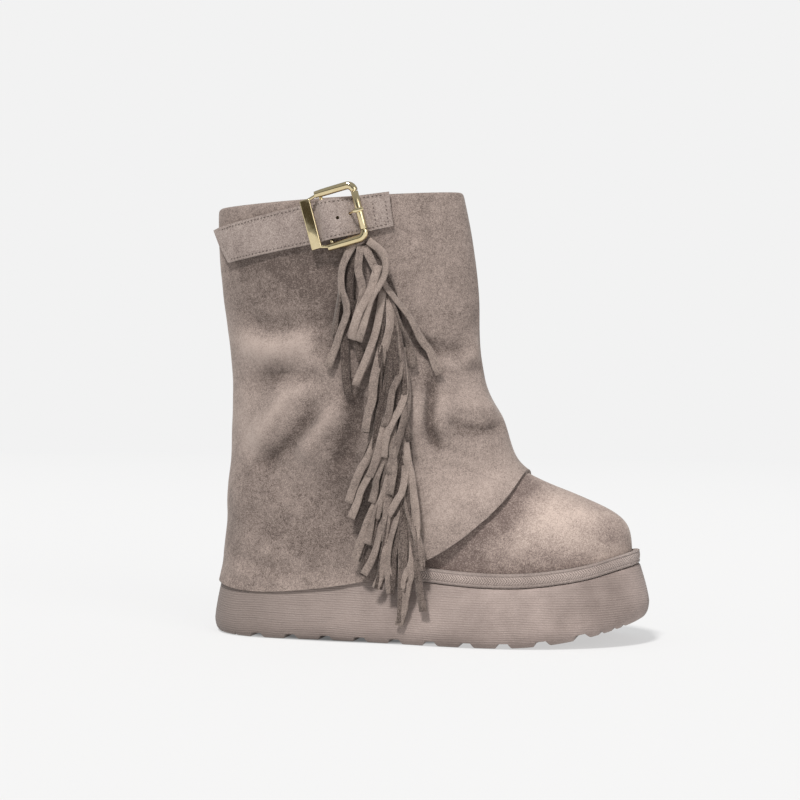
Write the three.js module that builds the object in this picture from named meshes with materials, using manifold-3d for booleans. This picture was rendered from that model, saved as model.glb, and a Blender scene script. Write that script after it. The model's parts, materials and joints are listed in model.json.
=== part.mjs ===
// Fold-over platform boot with a buckle strap and a fringe down its outer side, for the right foot.
// Millimetres. +X points to the toe, +Y to the inner side of the foot, +Z up, and the floor is z = 0.
// The origin is on the floor under the middle of a heel lug.
// A ring's angle starts at the back, and goes over the outer side (-Y), the toe and the inner side.
import * as THREE from "three";
import { mergeVertices } from "three/addons/utils/BufferGeometryUtils.js";
import Module from "manifold-3d";

const wasm = await Module();
wasm.setup();

// Clearances
const CLEAR = 0.3; // between two pieces that meet
const CUT_CLEAR = 0.45; // round the prong where it goes through the strap

// Sole
const SOLE_LENGTH = 292;
const BALL_WIDTH = 110;
const HEEL_SETBACK = 53; // from the sole's back end to the origin
const TOE_SWING = 5; // the tip lies this far towards the inner side
const HEEL_HEIGHT = 47; // top edge above the floor
const BALL_HEIGHT = 37.5;
const TOE_HEIGHT = 52.5;
const TOE_SPRING = 17.5; // the tread's rise at the tip
const SPRING_START = 0.67; // share of the length where the tread leaves the floor
const SPRING_POWER = 2.2;
const HEEL_FLARE = 8; // how far the wall leans out from its top to its widest line
const TOE_FLARE = 6.2;
const FLARE_POWER = 1.3;
const EDGE_ROUND = 5; // rounding of the lower edge, inwards
const EDGE_HEIGHT = 9; // and upwards
const TOP_LIP = 1; // rounding of the top edge
const LUG_PITCH = 23.8;
const GROOVE_MOUTH = 10.8;
const GROOVE_ROOF = 6.5;
const GROOVE_DEPTH = 3.4;
const LAST_GROOVE = 0.89; // no groove lies past this share of the length

// Rand, insole and upper
const RAND_HEIGHT = 9;
const RAND_THICK = 3.5;
const RAND_LEDGE = 0.5; // of the sole's top, left bare outside the rand
const RAND_BULGE = 0.8;
const INSOLE_THICK = 5;
const INSOLE_CLEAR = 0.6;
const UPPER_WALL = 3;
const SEAM_WIDTH = 5; // raised seam down the middle of the toe
const SEAM_RISE = 0.7;
const SEAM_FADE = 0.6; // levels of the upper over which it sinks in at the hem

// Fold-over shaft
const COLLAR_LENGTH = 171;
const COLLAR_WIDTH = 64;
const COLLAR_BACK = 284; // the fold's top above the floor, at the back
const COLLAR_FRONT = 291.5;
const SHAFT_X = 33; // middle of the collar
const SHAFT_WALL = 1.8;
const SHAFT_SLACK = 10; // how far the loose outer layer stands off, where its share is 1
const FACING_DEPTH = 30; // turned in at the collar
const HEM_HEIGHT = 30.4; // lowest line of the hem
const HEM_RISE = 74.2; // from there to its top on the instep
const HEM_SKIRT = 20; // the lowest ring of the layer lies this far under the sole's top edge
const HEM_EDGE = 0.1; // levels over the hem up to the line of its edge
const HEM_FREE = 0.5; // and up to where the layer hangs free

// Strap and buckle
const STRAP_WIDTH = 26.4; // at the buckle
const STRAP_BACK_WIDTH = 25;
const STRAP_FRONT_WIDTH = 22.5;
const STRAP_THICK = 2.2;
const STRAP_BACK_X = -45;
const STRAP_FRONT_X = 76;
const STRAP_TILT = 10; // degrees, rising to the front
const STRAP_SKEW = 24; // degrees that its back end is cut off square
const STRAP_DROP = 15.8; // strap's middle under the collar, at the buckle's bar
const BUCKLE_X = 35; // middle of the buckle's centre bar
const BUCKLE_TILT = 15; // degrees
const FRAME_REACH = 23.2; // from the centre bar to the outer pin
const FRAME_HALF = 17.7; // from the middle to an arm
const FRAME_TUBE = 2.6; // radius of an arm
const FRAME_CORNER = 4.5;
const FRAME_SAG = 0.4; // how far the strap's curve rises to the straight frame
const PIN_RADIUS = 1.1;
const ROLLER_RADIUS = 2.35;
const ROLLER_HALF = FRAME_HALF - FRAME_CORNER - 2 * CLEAR;
const BAR_RADIUS = 1.2;
const BAR_SAG = 0.4; // how far the shaft's surface falls away towards the bar's ends
const BAR_NECK = 0.75; // radius of the bar where the prong's ring sits
const NECK_HALF = 1.4;
const KEEPER_X = -10.2; // from the centre bar to the keeper
const KEEPER_WIDTH = 7;
const KEEPER_HALF = 16.6;
const KEEPER_THICK = 2.2;
const KEEPER_BEVEL = 0.6;
const ROD_RADIUS = 1;
const ROD_INSET = 1.5; // from the keeper's end to a rod's middle
const PRONG_RADIUS = 0.7;
const PRONG_CLEAR = 0.2; // between the prong's ring and the bar
const PRONG_BEND = 3.4; // the tongue starts to rise this far behind its hole
const PRONG_OVER = 3.6; // the prong's tip past the roller's middle
const HOLE_X = 17.7; // the prong's hole, from the centre bar
const HOLE_SPACING = 9.5;
const HOLE_RADIUS = 1.2;
const BUMP_BACK = 8; // the strap comes down again this far behind the centre bar
const BUMP_FRONT = 24; // and this far in front of it

// Fringe
const STRIP_WIDTH = 5;
const STRIP_THICK = 1.1;
const BAND_WIDTH = 8;
const BAND_THICK = 1.6;
const BAND_SEAT = 1.55; // the band's back, over the shaft's true surface
const STRIP_LEAD = 0.35; // share of a strip's swing to its tip that comes early on
const BOW_SPAN = 0.8; // share of a half wave that a strip's bow runs through
const BOW_RISE = 0.7; // the bow's height, in shares of its column
const TIP_OUT = 0.3; // a strip's tip stands off by this share of its width
const STRIP_HOLD = 4; // nearer than this to the hem, a strip hangs straight down

// Samples round and along the lofts
const ROUND = 40;
const UPPER_STEPS = 11;
const SHAFT_STEPS = 9;
const STRAP_STEPS = 10;
const BAND_STEPS = 16;
const STRIP_STEPS = 3;
const SLOPE_STEP = 0.02; // of angle and of level, where a slope is measured
const HALVINGS = 24; // of the levels, where a height is looked for
const SEARCH_STEPS = 14; // of the search for a place by its x and z
const SEARCH_TURN = 0.3; // longest step of its angle
const SEARCH_END = 0.12; // nearest that the angle comes to the back or the front
const TURN = 2 * Math.PI;
const DEGREE = Math.PI / 180;

// A column of a table at a value of its column `by`, along a smooth curve through its rows.
function read(rows, by, column, at) {
  const last = rows.length - 1;
  if (at <= rows[0][by]) return rows[0][column];
  if (at >= rows[last][by]) return rows[last][column];
  let i = 0;
  while (rows[i + 1][by] < at) i += 1;
  const slope = (k) => {
    const before = rows[Math.max(k - 1, 0)];
    const after = rows[Math.min(k + 1, last)];
    return (after[column] - before[column]) / (after[by] - before[by]);
  };
  const [a, b] = [rows[i], rows[i + 1]];
  const width = b[by] - a[by];
  const t = (at - a[by]) / width;
  const rise = b[column] - a[column];
  const ease = t * t * (3 - 2 * t);
  const lead = t * (1 - t) * (1 - t) * width * slope(i);
  const tail = t * t * (1 - t) * width * slope(i + 1);
  return a[column] + rise * ease + lead - tail;
}

const mix = (a, b, share) => a + (b - a) * share;
const alongSole = (share) => share * SOLE_LENGTH - HEEL_SETBACK;
const soleShare = (x) => (x + HEEL_SETBACK) / SOLE_LENGTH;
const degrees = (value) => value * DEGREE;

// Solids

// A grid of points as one closed mesh: each row is a ring, and the rows join round or get end caps.
function ringSolid(rings, joined) {
  const count = rings[0].length;
  const positions = rings.flat().flatMap((p) => [p.x, p.y, p.z]);
  const index = [];
  const face = (a, b, c) => {
    if (a !== b && b !== c && a !== c) index.push(a, b, c);
  };
  const spans = joined ? rings.length : rings.length - 1;
  for (let i = 0; i < spans; i += 1) {
    const low = i * count;
    const high = ((i + 1) % rings.length) * count;
    for (let j = 0; j < count; j += 1) {
      const k = (j + 1) % count;
      face(low + j, low + k, high + k);
      face(low + j, high + k, high + j);
    }
  }
  if (!joined) {
    const top = (rings.length - 1) * count;
    for (let j = 0; j < count / 2; j += 1) {
      const across = (count - j) % count;
      const next = count - j - 1;
      face(top + j, top + j + 1, top + next);
      face(top + j, top + next, top + across);
      face(j + 1, j, next);
      face(next, j, across);
    }
  }
  const geometry = new THREE.BufferGeometry();
  geometry.setAttribute("position", new THREE.Float32BufferAttribute(positions, 3));
  geometry.setIndex(index);
  return geometry;
}

// A three.js geometry as a manifold-3d solid.
function toSolid(geometry) {
  const plain = geometry.index ? geometry.toNonIndexed() : geometry.clone();
  plain.deleteAttribute("normal");
  plain.deleteAttribute("uv");
  const merged = mergeVertices(plain, 1e-4);
  return new wasm.Manifold(
    new wasm.Mesh({
      numProp: 3,
      vertProperties: new Float32Array(merged.attributes.position.array),
      triVerts: new Uint32Array(merged.index.array),
    }),
  );
}

// A manifold-3d solid as a three.js geometry.
function toGeometry(solid) {
  const { vertProperties, triVerts } = solid.getMesh();
  const geometry = new THREE.BufferGeometry();
  geometry.setAttribute("position", new THREE.Float32BufferAttribute(vertProperties, 3));
  geometry.setIndex([...triVerts]);
  return geometry;
}

function namedMesh(name, geometry, material) {
  geometry.computeVertexNormals();
  const mesh = new THREE.Mesh(geometry, material);
  mesh.name = name;
  return mesh;
}

// A round tube along a list of points, with flat ends.
function tube(points, radius, sides, steps, bend = 0.5) {
  const path = new THREE.CatmullRomCurve3(points, false, "catmullrom", bend);
  const section = new THREE.Shape();
  for (let i = 0; i < sides; i += 1) {
    const angle = (i / sides) * TURN;
    const [x, y] = [radius * Math.cos(angle), radius * Math.sin(angle)];
    if (i === 0) section.moveTo(x, y);
    else section.lineTo(x, y);
  }
  section.closePath();
  return toSolid(new THREE.ExtrudeGeometry(section, { steps, extrudePath: path }));
}

// Sole

// The outline is an ellipse whose half-width is multiplied by the fullness of each side.
const SOLE_OUTLINE = [
  { at: 0, outer: 1.36, inner: 1.36 },
  { at: 0.04, outer: 1.32, inner: 1.3 },
  { at: 0.16, outer: 1.08, inner: 1.06 },
  { at: 0.28, outer: 0.9, inner: 0.86 },
  { at: 0.42, outer: 0.88, inner: 0.74 },
  { at: 0.55, outer: 0.965, inner: 0.85 },
  { at: 0.65, outer: 1.045, inner: 1.0 },
  { at: 0.75, outer: 1.11, inner: 1.13 },
  { at: 0.85, outer: 1.17, inner: 1.26 },
  { at: 0.93, outer: 1.24, inner: 1.38 },
  { at: 1, outer: 1.32, inner: 1.46 },
];

// Top edge: shares of the heel's and of the toe's rise over the ball.
const SOLE_TOP = [
  { at: 0, heel: 1, toe: 0 },
  { at: 0.2, heel: 0.95, toe: 0 },
  { at: 0.38, heel: 0.66, toe: 0 },
  { at: 0.526, heel: 0.26, toe: 0 },
  { at: 0.65, heel: 0, toe: 0 },
  { at: 0.75, heel: 0, toe: 0.01 },
  { at: 0.84, heel: 0, toe: 0.21 },
  { at: 0.894, heel: 0, toe: 0.42 },
  { at: 0.935, heel: 0, toe: 0.66 },
  { at: 1, heel: 0, toe: 1 },
];

// Lower edge, in shares of its rounding, then the wall, in shares of its height.
const EDGE_ROWS = [
  { inwards: 1, up: 0 },
  { inwards: 0.42, up: 0.16 },
  { inwards: 0.12, up: 0.48 },
  { inwards: 0, up: 1 },
];
const WALL_ROWS = [0.35, 0.7, 0.96];

function soleTop(x) {
  const at = soleShare(x);
  const heel = read(SOLE_TOP, "at", "heel", at) * (HEEL_HEIGHT - BALL_HEIGHT);
  const toe = read(SOLE_TOP, "at", "toe", at) * (TOE_HEIGHT - BALL_HEIGHT);
  return BALL_HEIGHT + heel + toe;
}

function soleBottom(x) {
  const past = (soleShare(x) - SPRING_START) / (1 - SPRING_START);
  return past > 0 ? TOE_SPRING * past ** SPRING_POWER : 0;
}

function outlinePoint(angle) {
  const at = (1 - Math.cos(angle)) / 2;
  const side = Math.sin(angle);
  const fullness = read(SOLE_OUTLINE, "at", side > 0 ? "outer" : "inner", at);
  const y = TOE_SWING * at * at - (side * fullness * BALL_WIDTH) / 2;
  return new THREE.Vector2(alongSole(at), y);
}

// The outline's point at an angle, moved in by the given distance.
function soleOutline(angle, inset) {
  const [before, after] = [outlinePoint(angle - SLOPE_STEP), outlinePoint(angle + SLOPE_STEP)];
  const along = after.sub(before).normalize();
  return outlinePoint(angle).add(new THREE.Vector2(-along.y, along.x).multiplyScalar(inset));
}

const flareAt = (angle) => mix(HEEL_FLARE, TOE_FLARE, (1 - Math.cos(angle)) / 2);
const randOuter = (angle) => flareAt(angle) + RAND_LEDGE;
const upperInset = (angle) => randOuter(angle) + RAND_THICK + CLEAR;

// How far the wall lies inside the widest line, at a height between that line and the top edge.
function wallInset(angle, x, z) {
  const low = soleBottom(x) + EDGE_HEIGHT;
  const share = Math.min(Math.max((z - low) / (soleTop(x) - low), 0), 1);
  return flareAt(angle) * share ** FLARE_POWER;
}

// One ring: the inset and the height are functions of the angle and of the outline's x.
function ring(inset, height) {
  return Array.from({ length: ROUND }, (_, i) => {
    const angle = (i / ROUND) * TURN;
    const p = soleOutline(angle, inset(angle, alongSole((1 - Math.cos(angle)) / 2)));
    return new THREE.Vector3(p.x, p.y, height(p.x));
  });
}

function makeGroove(x) {
  const reach = BALL_WIDTH;
  const low = -GROOVE_DEPTH;
  const spread = (GROOVE_MOUTH - GROOVE_ROOF) / 2 / GROOVE_DEPTH;
  const shape = new THREE.Shape([
    new THREE.Vector2(-GROOVE_MOUTH / 2 + low * spread, low),
    new THREE.Vector2(GROOVE_MOUTH / 2 - low * spread, low),
    new THREE.Vector2(GROOVE_ROOF / 2, GROOVE_DEPTH),
    new THREE.Vector2(-GROOVE_ROOF / 2, GROOVE_DEPTH),
  ]);
  const prism = new THREE.ExtrudeGeometry(shape, { depth: 2 * reach, bevelEnabled: false });
  const slope = Math.atan2(soleBottom(x + 1) - soleBottom(x - 1), 2);
  prism.rotateX(Math.PI / 2);
  prism.translate(0, reach, 0);
  prism.rotateY(-slope);
  prism.translate(x, 0, soleBottom(x));
  return toSolid(prism);
}

function makeSole() {
  const edge = EDGE_ROWS.map((row) =>
    ring(
      () => row.inwards * EDGE_ROUND,
      (x) => soleBottom(x) + row.up * EDGE_HEIGHT,
    ),
  );
  const wall = WALL_ROWS.map((share) => {
    const height = (x) => mix(soleBottom(x) + EDGE_HEIGHT, soleTop(x), share);
    return ring((angle, x) => wallInset(angle, x, height(x)), height);
  });
  const lip = ring((angle) => flareAt(angle) + TOP_LIP, soleTop);
  let sole = toSolid(ringSolid([...edge, ...wall, lip], false));
  const last = alongSole(LAST_GROOVE);
  for (let x = LUG_PITCH / 2; x < last; x += LUG_PITCH) sole = sole.subtract(makeGroove(x));
  return toGeometry(sole.subtract(makeGroove(-LUG_PITCH / 2)));
}

function makeInsole() {
  const inset = (angle) => upperInset(angle) + UPPER_WALL + INSOLE_CLEAR;
  const low = ring(inset, (x) => soleTop(x) + CLEAR);
  const high = ring(inset, (x) => soleTop(x) + CLEAR + INSOLE_THICK);
  return ringSolid([low, high], false);
}

// The rand's section: across from its inner face, in shares of its thickness, and up, of its height.
const RAND_SECTION = [
  { across: 0, up: 0 },
  { across: 1, up: 0 },
  { across: 1, up: 0.25 },
  { across: 1, up: 0.72 },
  { across: 0.7, up: 1 },
  { across: 0, up: 1 },
];

function makeRand() {
  const rows = RAND_SECTION.map((row) => {
    const bulge = row.across === 1 && row.up > 0 ? RAND_BULGE : 0;
    const inset = (angle) => randOuter(angle) + (1 - row.across) * RAND_THICK - bulge;
    return ring(inset, (x) => soleTop(x) + CLEAR + row.up * RAND_HEIGHT);
  });
  return ringSolid(rows, true);
}

// Upper

// Each row is a flat section from a point on the heel line to one on the toe and instep line.
// back and front are shares of the sole's length, backUp and frontUp shares of the rise to the collar.
// half is a share of the ball's half-width, and own how far the form has left the sole's outline.
// shaft is how far the section follows the collar's length and width instead of the sole's.
const UPPER_ROWS = [
  { back: 0.0394, backUp: 0.064, front: 0.9615, frontUp: 0.07, half: 0.79, own: 0, shaft: 0 },
  { back: 0.0377, backUp: 0.099, front: 0.953, frontUp: 0.102, half: 0.78, own: 0.08, shaft: 0 },
  { back: 0.0377, backUp: 0.142, front: 0.928, frontUp: 0.132, half: 0.745, own: 0.2, shaft: 0 },
  { back: 0.0394, backUp: 0.193, front: 0.86, frontUp: 0.169, half: 0.695, own: 0.35, shaft: 0 },
  { back: 0.0445, backUp: 0.245, front: 0.752, frontUp: 0.217, half: 0.66, own: 0.55, shaft: 0 },
  { back: 0.0497, backUp: 0.3, front: 0.682, frontUp: 0.27, half: 0.65, own: 0.8, shaft: 0 },
  { back: 0.061, backUp: 0.365, front: 0.6435, frontUp: 0.351, half: 0.66, own: 1, shaft: 0.1 },
  { back: 0.0767, backUp: 0.45, front: 0.6325, frontUp: 0.457, half: 0.69, own: 1, shaft: 0.3 },
  { back: 0.0955, backUp: 0.58, front: 0.637, frontUp: 0.585, half: 0.7, own: 1, shaft: 0.5 },
  { back: 0.0959, backUp: 0.72, front: 0.66, frontUp: 0.721, half: 0.7, own: 1, shaft: 0.7 },
  { back: 0.116, backUp: 0.87, front: 0.702, frontUp: 0.866, half: 0.6, own: 1, shaft: 0.9 },
  { back: 0.116, backUp: 1, front: 0.702, frontUp: 1, half: 0.55, own: 1, shaft: 1 },
];
const LENS_END = 0.82; // fullness of the flattened shaft at its two ends
const FOOT_RINGS = 2; // the rings under the first row, which follow the sole's outline
const TOP = UPPER_ROWS.length + FOOT_RINGS - 1;
const FOLD = UPPER_WALL / 2 + CLEAR + SHAFT_WALL; // radius of the fold's outside

function rowPoint(row, angle) {
  const at = (1 - Math.cos(angle)) / 2;
  const side = Math.sin(angle);
  const shaftHalf = COLLAR_LENGTH / 2 - CLEAR - SHAFT_WALL;
  const back = mix(alongSole(row.back), SHAFT_X - shaftHalf, row.shaft);
  const front = mix(alongSole(row.front), SHAFT_X + shaftHalf, row.shaft);
  const backZ = mix(HEEL_HEIGHT, COLLAR_BACK - FOLD, row.backUp);
  const frontZ = mix(TOE_HEIGHT, COLLAR_FRONT - FOLD, row.frontUp);
  const footFull = read(SOLE_OUTLINE, "at", side > 0 ? "outer" : "inner", at);
  const lensFull = mix(LENS_END, 1, side * side);
  const collarHalf = COLLAR_WIDTH / 2 - CLEAR - SHAFT_WALL;
  const half = mix((row.half * BALL_WIDTH) / 2, collarHalf, row.shaft);
  const swing = TOE_SWING * at * at * (1 - row.own);
  return new THREE.Vector3(
    mix(back, front, at),
    swing - side * half * mix(footFull, lensFull, row.own),
    mix(backZ, frontZ, at),
  );
}

// The rings of the upper: the feather line on the sole, the rand's top, then the rows.
function upperRing(k, angle) {
  if (k >= FOOT_RINGS) return rowPoint(UPPER_ROWS[Math.min(k, TOP) - FOOT_RINGS], angle);
  const p = soleOutline(angle, upperInset(angle));
  return new THREE.Vector3(p.x, p.y, soleTop(p.x) + CLEAR + (k > 0 ? RAND_HEIGHT : 0));
}

// The rings that the loose outer layer hangs over: the sole's wall, its top edge, the rand, the upper.
function hungRing(k, angle) {
  if (k > FOOT_RINGS) return upperRing(k, angle);
  if (k < FOOT_RINGS) return wallPoint(angle, k);
  const p = soleOutline(angle, skirtInset(angle));
  return new THREE.Vector3(p.x, p.y, soleTop(p.x) + CLEAR + RAND_HEIGHT);
}

// The layer passes outside both the sole's top edge and the rand.
const skirtInset = (angle) => Math.min(flareAt(angle), randOuter(angle) - RAND_BULGE);

// A point on the sole's wall, from the lowest ring of the layer (share 0) to the top edge (share 1).
function wallPoint(angle, share) {
  const x = alongSole((1 - Math.cos(angle)) / 2);
  const drop = HEM_SKIRT * (1 - share);
  const inset = Math.min(wallInset(angle, x, soleTop(x) - drop), skirtInset(angle));
  const p = soleOutline(angle, inset);
  return new THREE.Vector3(p.x, p.y, soleTop(p.x) - drop);
}

// A point between the rings, at a level that counts them from 0.
function between(ringAt, angle, level) {
  const k = Math.min(Math.max(Math.floor(level), 0), TOP - 1);
  const t = level - k;
  const p = [k - 1, k, k + 1, k + 2].map((i) => ringAt(Math.min(Math.max(i, 0), TOP), angle));
  const weights = [
    (-t + 2 * t * t - t ** 3) / 2,
    (2 - 5 * t * t + 3 * t ** 3) / 2,
    (t + 4 * t * t - 3 * t ** 3) / 2,
    (t ** 3 - t * t) / 2,
  ];
  return p.reduce((sum, q, i) => sum.addScaledVector(q, weights[i]), new THREE.Vector3());
}

const upperBase = (angle, level) => between(upperRing, angle, level);
const hungBase = (angle, level) =>
  level < 1 ? wallPoint(angle, level) : between(hungRing, angle, level);

function normalAt(base, angle, level) {
  const low = Math.max(level - SLOPE_STEP, 0);
  const high = Math.min(level + SLOPE_STEP, TOP);
  const round = base(angle + SLOPE_STEP, level).sub(base(angle - SLOPE_STEP, level));
  const up = base(angle, high).sub(base(angle, low));
  return round.cross(up).normalize();
}

const upperPoint = (angle, level, out) =>
  upperBase(angle, level).addScaledVector(normalAt(upperBase, angle, level), out);

// The raised seam runs over the toe's middle, from the rand to just before the hem.
function seamRise(angle, level, end) {
  const p = upperBase(angle, level);
  const away = Math.abs(p.y - TOE_SWING * soleShare(p.x) ** 2) / SEAM_WIDTH;
  const onToe = Math.cos(angle) < 0 && level > 1 ? 1 : 0;
  const fade = Math.min(Math.max((end - level) / SEAM_FADE, 0), 1);
  return onToe * SEAM_RISE * fade * Math.max(1 - away * away, 0);
}

function makeUpper() {
  const seamEnd = hemLevel(Math.PI) - SEAM_FADE / 2;
  const sections = Array.from({ length: ROUND }, (_, i) => {
    const angle = -(i / ROUND) * TURN;
    const risen = Array.from({ length: UPPER_STEPS + 1 }, (_, k) => mix(1, TOP, k / UPPER_STEPS));
    const levels = [0, ...risen];
    const outside = levels.map((level) => upperPoint(angle, level, seamRise(angle, level, seamEnd)));
    const inside = levels.map((level) => upperPoint(angle, level, -UPPER_WALL)).reverse();
    return [...outside, ...inside];
  });
  return ringSolid(sections, true);
}

// Fold-over shaft

// How far the outer layer stands off the upper, in shares of the slack.
const SLACK_ROWS = [
  { level: 0, back: 0.01, side: 0.01, front: 0.01 },
  { level: 2, back: 0.04, side: 0.06, front: 0.04 },
  { level: 3, back: 0.12, side: 0.12, front: 0.05 },
  { level: 5, back: 0.2, side: 0.4, front: 0.06 },
  { level: 6, back: 0.22, side: 0.55, front: 0.11 },
  { level: 7, back: 0.22, side: 0.6, front: 0.42 },
  { level: 8, back: 0.4, side: 0.6, front: 1.4 },
  { level: 9, back: 0.26, side: 0.6, front: 0.45 },
  { level: 10, back: 0.26, side: 0.4, front: 0.2 },
  { level: 11, back: 0.24, side: 0.3, front: 0.36 },
  { level: 12, back: 0.32, side: 0.12, front: 0.28 },
  { level: 13, back: 0, side: 0, front: 0 },
];

// Hem: shares of its rise over its lowest line, along the sole's length.
const HEM_ROWS = [
  { at: 0, up: 0.07 },
  { at: 0.082, up: 0.005 },
  { at: 0.164, up: 0 },
  { at: 0.252, up: 0.028 },
  { at: 0.36, up: 0.089 },
  { at: 0.418, up: 0.135 },
  { at: 0.548, up: 0.33 },
  { at: 0.61, up: 0.49 },
  { at: 0.688, up: 0.76 },
  { at: 0.715, up: 0.92 },
  { at: 0.73, up: 1.06 },
  { at: 0.76, up: 1.42 },
];

const hemAt = (x) => HEM_HEIGHT + HEM_RISE * read(HEM_ROWS, "at", "up", soleShare(x));

function slackAt(angle, level) {
  const at = (1 - Math.cos(angle)) / 2;
  const [back, side, front] = ["back", "side", "front"].map((column) =>
    read(SLACK_ROWS, "level", column, level),
  );
  const share = back * (1 - at) ** 2 + side * 2 * at * (1 - at) + front * at * at;
  return CLEAR + SHAFT_SLACK * share;
}

// A point on the outer layer, a distance out from its inner face.
function shaftPoint(angle, level, out) {
  const normal = normalAt(hungBase, angle, level);
  return hungBase(angle, level).addScaledVector(normal, slackAt(angle, level) + out);
}

// The level at which a falling measure of the height reaches zero.
function levelWhere(measure) {
  let [low, high] = [0, TOP];
  for (let i = 0; i < HALVINGS; i += 1) {
    const middle = (low + high) / 2;
    if (measure(middle) < 0) low = middle;
    else high = middle;
  }
  return low;
}

function hemLevel(angle) {
  return levelWhere((level) => {
    const p = shaftPoint(angle, level, SHAFT_WALL);
    return p.z - hemAt(p.x);
  });
}

// The layer's section at an angle: outside up, over the fold, down the facing, and back.
function shaftSection(angle) {
  const hem = hemLevel(angle);
  const edge = Math.max(1, hem + HEM_EDGE);
  const free = Math.max(2, hem + HEM_FREE);
  const risen = Array.from({ length: SHAFT_STEPS + 1 }, (_, k) => mix(free, TOP, k / SHAFT_STEPS));
  const levels = [hem, mix(hem, edge, 0.5), edge, ...risen];
  const outside = levels.map((level) => shaftPoint(angle, level, SHAFT_WALL));
  const inside = levels.map((level) => shaftPoint(angle, level, 0)).reverse();
  const rim = upperPoint(angle, TOP, 0);
  const normal = normalAt(upperBase, angle, TOP);
  const middle = rim.clone().addScaledVector(normal, -UPPER_WALL / 2);
  const arc = (radius, turns) =>
    turns.map((turn) => {
      const p = middle.clone().addScaledVector(normal, radius * Math.cos(turn * Math.PI));
      p.z += radius * Math.sin(turn * Math.PI);
      return p;
    });
  const deep = levelWhere((level) => upperPoint(angle, level, 0).z - rim.z + FACING_DEPTH);
  const facing = [mix(TOP, deep, 0.5), deep];
  const down = (out) => facing.map((level) => upperPoint(angle, level, -UPPER_WALL - out));
  return [
    ...outside,
    ...arc(FOLD, [0.2, 0.4, 0.6, 0.8, 1]),
    ...down(CLEAR + SHAFT_WALL),
    ...down(CLEAR).reverse(),
    ...arc(FOLD - SHAFT_WALL, [1, 0.67, 0.33]),
    ...inside,
  ];
}

function makeFoldOverShaft() {
  const sections = Array.from({ length: ROUND }, (_, i) => shaftSection(-(i / ROUND) * TURN));
  return ringSolid(sections, true);
}

// Places on the outer side of the fold-over shaft

// The angle and level whose point on the outer side has the given x and z.
function locate(x, z) {
  const reach = (SHAFT_X + COLLAR_LENGTH / 2 - x) / COLLAR_LENGTH;
  const limit = (value, least, most) => Math.min(Math.max(value, least), most);
  let angle = Math.acos(2 * limit(reach, 0, 1) - 1);
  let level = mix(2, TOP, limit((z - HEEL_HEIGHT) / (COLLAR_BACK - HEEL_HEIGHT), 0, 1));
  const step = SLOPE_STEP / 2;
  for (let i = 0; i < SEARCH_STEPS; i += 1) {
    angle = limit(angle, SEARCH_END, Math.PI - SEARCH_END);
    const p = shaftPoint(angle, level, SHAFT_WALL);
    const a = shaftPoint(angle + step, level, SHAFT_WALL).sub(p).divideScalar(step);
    const b = shaftPoint(angle, level - step, SHAFT_WALL).sub(p).divideScalar(-step);
    const [dx, dz] = [x - p.x, z - p.z];
    const det = a.x * b.z - b.x * a.z;
    angle += limit((dx * b.z - b.x * dz) / det, -SEARCH_TURN, SEARCH_TURN);
    level = limit(level + limit((a.x * dz - dx * a.z) / det, -1, 1), 0, TOP);
  }
  return { angle: limit(angle, SEARCH_END, Math.PI - SEARCH_END), level };
}

// A point above the outer side, and the surface's normal there. Over its top the side goes straight up.
function above(x, z, out) {
  const { angle, level } = locate(x, z);
  const normal = normalAt(hungBase, angle, level);
  const point = shaftPoint(angle, level, SHAFT_WALL + out);
  point.z += Math.max(z - shaftPoint(angle, level, SHAFT_WALL).z, 0);
  return { point, normal };
}

// Strap

const collarAt = (x) => mix(COLLAR_BACK, COLLAR_FRONT, (x - SHAFT_X) / COLLAR_LENGTH + 0.5);
const STRAP_MIDDLE = collarAt(BUCKLE_X) - STRAP_DROP;
const RING_RADIUS = BAR_NECK + PRONG_CLEAR + PRONG_RADIUS; // from the bar's middle to the prong's ring
const BAR_OUT = CLEAR + RING_RADIUS + PRONG_RADIUS; // the bar's middle over the shaft's surface
const STRAP_RISE = BAR_OUT + RING_RADIUS + PRONG_RADIUS + BAR_SAG; // the strap's lift over the bar
const FRAME_OUT = 2 * CLEAR + STRAP_THICK + ROLLER_RADIUS + FRAME_SAG;

// The strap's lift where it goes over the centre bar, at a distance along it.
function strapLift(along) {
  const reach = along < 0 ? BUMP_BACK : BUMP_FRONT;
  const share = Math.min(Math.abs(along) / reach, 1);
  return STRAP_RISE * Math.cos((share * Math.PI) / 2) ** 2;
}

function strapPoint(along, across, out) {
  const tilt = degrees(STRAP_TILT);
  const x = BUCKLE_X + along * Math.cos(tilt) - across * Math.sin(tilt);
  const z = STRAP_MIDDLE + along * Math.sin(tilt) + across * Math.cos(tilt);
  return above(x, z, CLEAR + strapLift(along) + out).point;
}

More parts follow.
